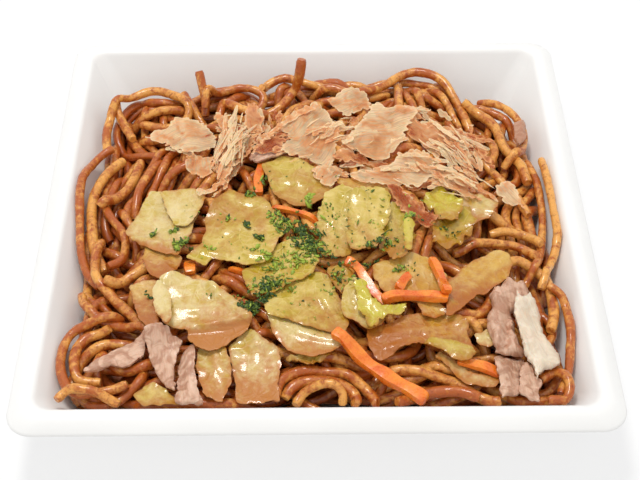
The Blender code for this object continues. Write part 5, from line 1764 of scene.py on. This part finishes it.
@dataclass
class FishFlakes:
    """Shavings of dried fish: papery curled sheets, with smaller ones and slivers over them."""

    kitchen: Kitchen
    thick: float = 0.16
    seed: int = 5
    finish: Material = field(default_factory=lambda: FlakeFinish().build())
    extra: Solids = field(default_factory=Solids)
    under: tuple[Bunch, ...] = (
        Bunch(46, 24, 9, 13, -50, 26, 0.75, 12.0, 0.26), Bunch(-22, 32, 8, 9, 100, 20, 0.6),
        Bunch(-28, 18, 4, 12, 74, 26, 0.4, 20.0, 0.1), Bunch(46, 33, 10, 8, -40, 14, 0.8, 10.0, 0.3),
        Bunch(-14, 26, 7, 8, 45, 16, 0.75), Bunch(4, 30, 14, 9, 20, 14, 0.4, 9.0, 0.4),
        Bunch(22, 30, 12, 9, 20, 12, 0.35, 9.0, 0.4), Bunch(40, 4, 10, 6, -30, 14, 0.5),
        Bunch(14, 12, 16, 6, -5, 12, 0.5, 9.0, 0.35), Bunch(-40, 24, 10, 6, 10, 8, 0.3, 9.0, 0.4),
        Bunch(34, 38, 6, 5, -30, 8, 0.5),
    )
    over: tuple[Bunch, ...] = (
        Bunch(46, 18, 8, 12, -48, 14, 0.4, 14.0, 0.16), Bunch(-26, 22, 3, 12, 78, 14, 0.25, 20.0, 0.09),
        Bunch(4, 26, 12, 10, 35, 8, 0.3, 8.0, 0.35), Bunch(30, 14, 12, 6, -20, 8, 0.35, 8.0, 0.3),
    )
    threads: tuple[Bunch, ...] = (
        Bunch(46, 20, 9, 14, -50, 14, 0.1, 9.0, 0.07), Bunch(-26, 24, 7, 14, 75, 12, 0.15, 9.0, 0.07),
        Bunch(44, 4, 12, 5, -35, 8, 0.0, 8.0, 0.07), Bunch(0, 24, 22, 12, 30, 10, 0.1, 8.0, 0.07),
    )

    def shape(self, shaving: Shaving, spacing: float, tear: float, seed: int, dense: float
              ) -> Shape | None:
        """Points, faces and marks of one shaving that lies on the ground."""
        net = SheetNet(np.array(shaving.corners), spacing, 0.35 * tear, seed, tear)
        if len(net.xy) < 8:
            return None
        x, y = net.xy.T
        along, across = grained(net, shaving.grain)
        under = net.rest(self.kitchen.ground, 60)
        side = across / max(float(np.abs(across).max()), 0.1)
        under += shaving.curl * side ** 2 * (0.6 + 0.4 * rolling_noise(seed, 6.0)(x, y))
        rise = min(1.0, net.size / 12.0)
        under += 0.45 * rise * (rolling_noise(seed + 1, 3.2)(across, along * 0.35) + 1.0)
        under += shaving.lift * rise * 0.35 * (rolling_noise(seed + 2, 8.0)(x, y) + 1.0)
        tint = shaving.tint + 0.35 * rolling_noise(seed + 3, 5.0)(x, y)
        tint -= (0.2 + 0.3 * max(shaving.tint - 0.2, 0.0)) * np.exp(-net.rim / 0.6)
        solid = dense + 0.12 * rolling_noise(seed + 4, 5.0)(x, y) + 0.25 * np.exp(-net.rim / 0.4)
        marks = {"tint": tint, "along": along + 9.0 * seed, "across": across, "dense": solid}
        return net.solid(under, self.thick, np.zeros(len(x)), marks)

    def lay(self, shaving: Shaving) -> None:
        """Makes one large shaving and lays it."""
        shape = self.shape(shaving, 0.7, 1.3, name_seed(shaving.name), 0.42)
        if shaving.name.startswith("extra"):
            self.kitchen.ground.raise_mesh(*shape[:2])
            self.extra.add(*shape)
            return
        piece = self.kitchen.place(shaving.name.replace("flake", "shaving"), shape)
        adopt(piece, self.finish, (shaving.name,))

    def strip(self, rng: np.random.Generator, bunch: Bunch) -> Array:
        """Corners of a ragged bent strip round its own middle, along x."""
        long = bunch.long * rng.uniform(0.45, 1.25)
        s = np.linspace(-0.5, 0.5, 6)
        bend = rng.uniform(-0.3, 0.3) * long * s ** 2
        half = 0.5 * bunch.long * bunch.slim * rng.uniform(0.45, 1.3, (2, 6)) * (1.0 - 2.4 * s ** 2)
        rim = np.column_stack([s * long, bend - half[0]]), np.column_stack([s * long, bend + half[1]])
        return np.concatenate([rim[0], rim[1][::-1]])

    def scatter(self, bunches: tuple[Bunch, ...], made: Solids, seed: int) -> None:
        """Scatters strips or threads over the shavings."""
        rng = np.random.default_rng(seed)
        for bunch in bunches:
            for _ in range(bunch.count):
                number = int(rng.integers(1, 9000))
                around = rng.normal(0.0, 0.5, 2) * (bunch.wide, bunch.deep)
                lean = bunch.lean + rng.normal(0.0, 10.0 if bunch.slim < 0.2 else 24.0)
                turn = math.radians(lean)
                along = np.array([math.cos(turn), math.sin(turn)])
                across = np.array([-along[1], along[0]])
                loop = self.strip(rng, bunch)
                corners = (bunch.x, bunch.y) + around + loop[:, :1] * along + loop[:, 1:] * across
                tint = bunch.tint + rng.normal(0.0, 0.42)
                curl, lift = rng.uniform(0.1, 0.7), rng.uniform(0.0, 0.5)
                shaving = Shaving("", tuple(map(tuple, corners)), tint, lean, curl, lift)
                thread = bunch.slim < 0.1
                shaped = self.shape(shaving, 0.45 if thread else 0.65, 0.0 if thread else 0.8,
                                    number, rng.uniform(0.2, 0.5))
                if shaped is None:
                    continue
                before = self.kitchen.ground.top.copy()
                self.kitchen.ground.raise_mesh(*shaped[:2])
                self.kitchen.ground.top = 0.7 * before + 0.3 * self.kitchen.ground.top
                made.add(*shaped)

    def build(self) -> None:
        """Lays strips, the large shavings over them, more strips and the threads on top."""
        self.scatter(self.under, self.extra, self.seed)
        for shaving in SHAVINGS:
            self.lay(shaving)
        self.scatter(self.over, self.extra, self.seed + 1)
        threads = Solids()
        self.scatter(self.threads, threads, self.seed + 2)
        adopt(self.extra.make("fish_shreds"), self.finish, ())
        adopt(threads.make("fish_slivers"), self.finish, ())


@dataclass(frozen=True)
class Drift:
    """Seaweed flakes strewn along a line: its ends, how wide they spread, number and size."""

    start: Spot
    end: Spot
    spread: float
    count: int
    tint: float = 0.5
    size: float = 1.0


@dataclass
class Seaweed:
    """Green seaweed flakes: small bent chips set on the surface by a Geometry Nodes tree."""

    kitchen: Kitchen
    seed: int = 21
    drifts: tuple[Drift, ...] = (
        Drift((-12, -9), (-7, -16), 1.6, 90, 0.45), Drift((-8, -13), (1, -20), 2.2, 170, 0.2, 1.1),
        Drift((-5, -19), (0, -24), 2.4, 60, 0.35, 0.9), Drift((-13, -31), (0, -26), 2.6, 150, 0.75),
        Drift((-16, -38), (-8, -36), 2.4, 120), Drift((-19, -44), (-13, -39), 1.8, 130, 0.12, 1.1),
        Drift((-21, -46), (-18, -44), 1.2, 50, 0.1, 1.1),
        Drift((-18, -23), (-15, -28), 1.2, 26, 0.85, 0.9), Drift((1, -24), (5, -29), 1.8, 40, 0.25),
        Drift((15, -24), (18, -24), 1.4, 30, 0.15), Drift((19, -22), (24, -21), 1.8, 34, 0.3, 0.9),
        Drift((5, -36), (10, -34), 2.4, 60, 0.45, 0.9), Drift((24, -29), (28, -29), 1.0, 14, 0.5, 0.9),
        Drift((28, -12), (30, -14), 1.0, 14, 0.8, 1.1), Drift((-42, -21), (-38, -18), 1.2, 46, 0.45, 1.1),
        Drift((-50, -16), (-49, -15), 0.6, 8, 0.5, 1.2), Drift((-44, -15), (-42, -14), 0.9, 18, 0.5, 1.1),
        Drift((-20, 3), (-19, 0), 1.2, 30, 0.4, 1.1), Drift((-27, -10), (-26, -10), 0.4, 5, 0.3, 1.6),
        Drift((-22, -13), (-21, -14), 0.6, 9, 0.4, 1.5), Drift((-19, -17), (-16, -19), 0.8, 18, 0.35, 1.3),
        Drift((-33, -19), (-30, -21), 1.2, 12, 0.8, 0.8), Drift((-3, 1), (-3, -4), 0.7, 14, 0.5, 1.3),
        Drift((-15, 10), (-14, 5), 1.5, 8, 0.6), Drift((-23, -38), (-20, -42), 2.0, 16, 0.3, 0.8),
        Drift((-31, -40), (-30, -40), 0.8, 3, 0.5, 0.9), Drift((2, -4), (10, -20), 5.0, 60, 0.5, 0.65),
        Drift((12, -4), (19, -21), 5.0, 46, 0.5, 0.6), Drift((21, -8), (28, -25), 4.0, 26, 0.5, 0.65),
        Drift((-34, -4), (-11, -25), 9.0, 40, 0.6, 0.6), Drift((-11, -40), (6, -53), 6.0, 22, 0.6, 0.6),
        Drift((23, -28), (31, -37), 4.0, 12, 0.4, 0.6), Drift((-5, 22), (33, 8), 9.0, 12, 0.4, 0.6),
        Drift((36, -15), (46, -19), 3.0, 20, 0.1, 0.8), Drift((-51, -37), (-49, -40), 0.6, 6, 0.1),
    )

    def chip(self) -> Thing:
        """One bent chip, closed, a unit across."""
        rng = np.random.default_rng(self.seed)
        count = 7
        turns = np.arange(count) * 2 * math.pi / count
        far = 0.5 * rng.uniform(0.65, 1.1, count)
        x, y = far * np.cos(turns), far * np.sin(turns)
        z = 0.35 * x * x + 0.12 * np.sin(3 * turns)
        rim = np.column_stack([x, y, z])
        points = np.concatenate([rim, rim - (0, 0, 0.10), [[0, 0, 0.03], [0, 0, -0.07]]])
        faces = []
        for k in range(count):
            after = (k + 1) % count
            faces.append([k, after, 2 * count])
            faces.append([count + after, count + k, 2 * count + 1])
            faces.append([after, k, count + k, count + after])
        return make_mesh("seaweed_chip", points, faces)

    def build(self) -> None:
        """Scatters the chips and dresses them."""
        rng = np.random.default_rng(self.seed)
        spots, tints, sizes = [], [], []
        for drift in self.drifts:
            start, end = np.array(drift.start, dtype=float), np.array(drift.end, dtype=float)
            share = rng.uniform(0.0, 1.0, (drift.count, 1))
            clumps = rng.normal(0, 0.8, (max(1, drift.count // 12), 2)) * drift.spread
            where = clumps[rng.integers(0, len(clumps), drift.count)]
            spots.append(start + (end - start) * share + where
                         + rng.normal(0, 0.45, (drift.count, 2)) * drift.spread)
            tints.append(drift.tint + rng.normal(0.0, 0.28, drift.count))
            sizes.append(drift.size * rng.lognormal(0.0, 0.38, drift.count))
        xy, tint, size = np.concatenate(spots), np.concatenate(tints), np.concatenate(sizes)
        ground = self.kitchen.ground
        size = np.clip(size, 0.4, 2.4)
        z = ground.around(xy[:, 0], xy[:, 1], 0.4) + 0.12
        z += np.where(rng.random(len(xy)) < 0.3, rng.uniform(0.1, 0.7, len(xy)), 0.0)
        lean = np.column_stack([rng.normal(0, 0.5, (len(xy), 2)), rng.uniform(0, 6.28, len(xy))])
        spread = size[:, None] * rng.uniform((0.8, 0.35, 0.5), (2.0, 0.9, 1.2), (len(xy), 3))
        spots = make_mesh("seaweed_spots", np.column_stack([xy, z]), [],
                          {"lean": lean, "spread": spread, "tint": tint})
        chip = self.chip()
        finish = SeaweedFinish().build()
        piece = ScatterTree("seaweed_scatter", finish).bake(spots, "seaweed_flakes", Chip=chip)
        bpy.data.objects.remove(chip, do_unlink=True)
        adopt(piece, finish, ())


# ======== studio


@dataclass(frozen=True)
class Studio:
    """A pale floor, soft lamps and a camera that looks down on the front of the tray."""

    lens: float = 72.3
    distance: float = 395.964
    elevation: float = 46.3066
    azimuth: float = -0.5776
    target: tuple[float, float, float] = (1.437, -13.313, 22.0)

    def floor(self) -> None:
        """Makes the floor."""
        reach = 4000.0
        plane = make_mesh("floor", np.array([(-reach, -reach, -0.05), (reach, -reach, -0.05),
                                             (reach, reach, -0.05), (-reach, reach, -0.05)]),
                          [[0, 1, 2, 3]])
        look = Wiring("floor_pale")
        cloud = look.noise(60.0, 2.0)
        plane.data.materials.append(look.set(
            Base_Color=look.mix(cloud, (0.34, 0.34, 0.34), (0.36, 0.36, 0.36)),
            Roughness=look.span(cloud, 0.6, 0.7), Emission_Color=(1.0, 1.0, 1.0),
            Emission_Strength=0.57))

    def lamp(self, name: str, place: tuple[float, float, float], size: float, watts: float,
             tint: Colour) -> None:
        """Adds one soft lamp that faces the tray."""
        light = bpy.data.lights.new(name, "AREA")
        light.shape = "DISK"
        light.size = size * MM
        light.energy = watts
        light.color = tint
        lamp = stand(name, light)
        lamp.location = Vector(place) * MM
        lamp.rotation_euler = (Vector((0, 0, 0.02)) - lamp.location).to_track_quat("-Z", "Y").to_euler()

    def camera(self) -> None:
        """Sets the camera."""
        lens = bpy.data.cameras.new("camera")
        lens.lens = self.lens
        lens.sensor_width = 36.0
        camera = stand("camera", lens)
        up, turn = math.radians(self.elevation), math.radians(self.azimuth)
        back = Vector((math.sin(turn) * math.cos(up), -math.cos(turn) * math.cos(up), math.sin(up)))
        camera.location = (Vector(self.target) + back * self.distance) * MM
        camera.rotation_euler = (-back).to_track_quat("-Z", "Y").to_euler()
        bpy.context.scene.camera = camera

    def build(self) -> None:
        """Makes the floor, the lamps, the sky and the camera."""
        self.floor()
        self.lamp("lamp_over", (-120, 120, 820), 200.0, 3.0, (1.0, 0.99, 0.97))
        self.lamp("lamp_front", (240, -420, 720), 420.0, 0.3, (1.0, 1.0, 1.0))
        world = bpy.data.worlds.new("sky")
        world.use_nodes = True
        sky = world.node_tree.nodes["Background"].inputs
        sky["Color"].default_value = (1.0, 1.0, 1.0, 1.0)
        sky["Strength"].default_value = 0.8
        scene = bpy.context.scene
        scene.world = world
        scene.view_settings.view_transform = "Standard"
        self.camera()


# ======== main


def covered_cells(ground: HeightField, nodes: dict[str, FrameMesh]) -> Array:
    """True for the cells under a topping."""
    shade = HeightField()
    for part in TOPPINGS:
        if part.node in nodes:
            node = nodes[part.node]
            shade.raise_mesh(node.points, node.upper())
    return shade.top > HeightField.EMPTY


def main() -> None:
    """Builds the dressed part in its order, from the tray up."""
    logging.basicConfig(level=logging.INFO, format="%(message)s")
    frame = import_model()
    nodes = {name: FrameMesh.read(node) for name, node in frame["nodes"].items()}
    ground = HeightField(0.0)
    shell = Tray().build()
    ground.raise_mesh(shell.points, shell.upper())
    noodles = NoodleHeap(ground)
    noodles.build(nodes["noodle_heap"], covered_cells(ground, nodes))
    noodles.dress()
    kitchen = Kitchen(nodes, ground)
    cooks = {Leaf: Cabbage(kitchen), Stick: Carrots(kitchen), Slice: Pork(kitchen)}
    for part in TOPPINGS:
        cooks[type(part)].lay(part)
    FishFlakes(kitchen).build()
    Seaweed(kitchen).build()
    Studio().build()
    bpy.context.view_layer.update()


if __name__ == "__main__":
    main()
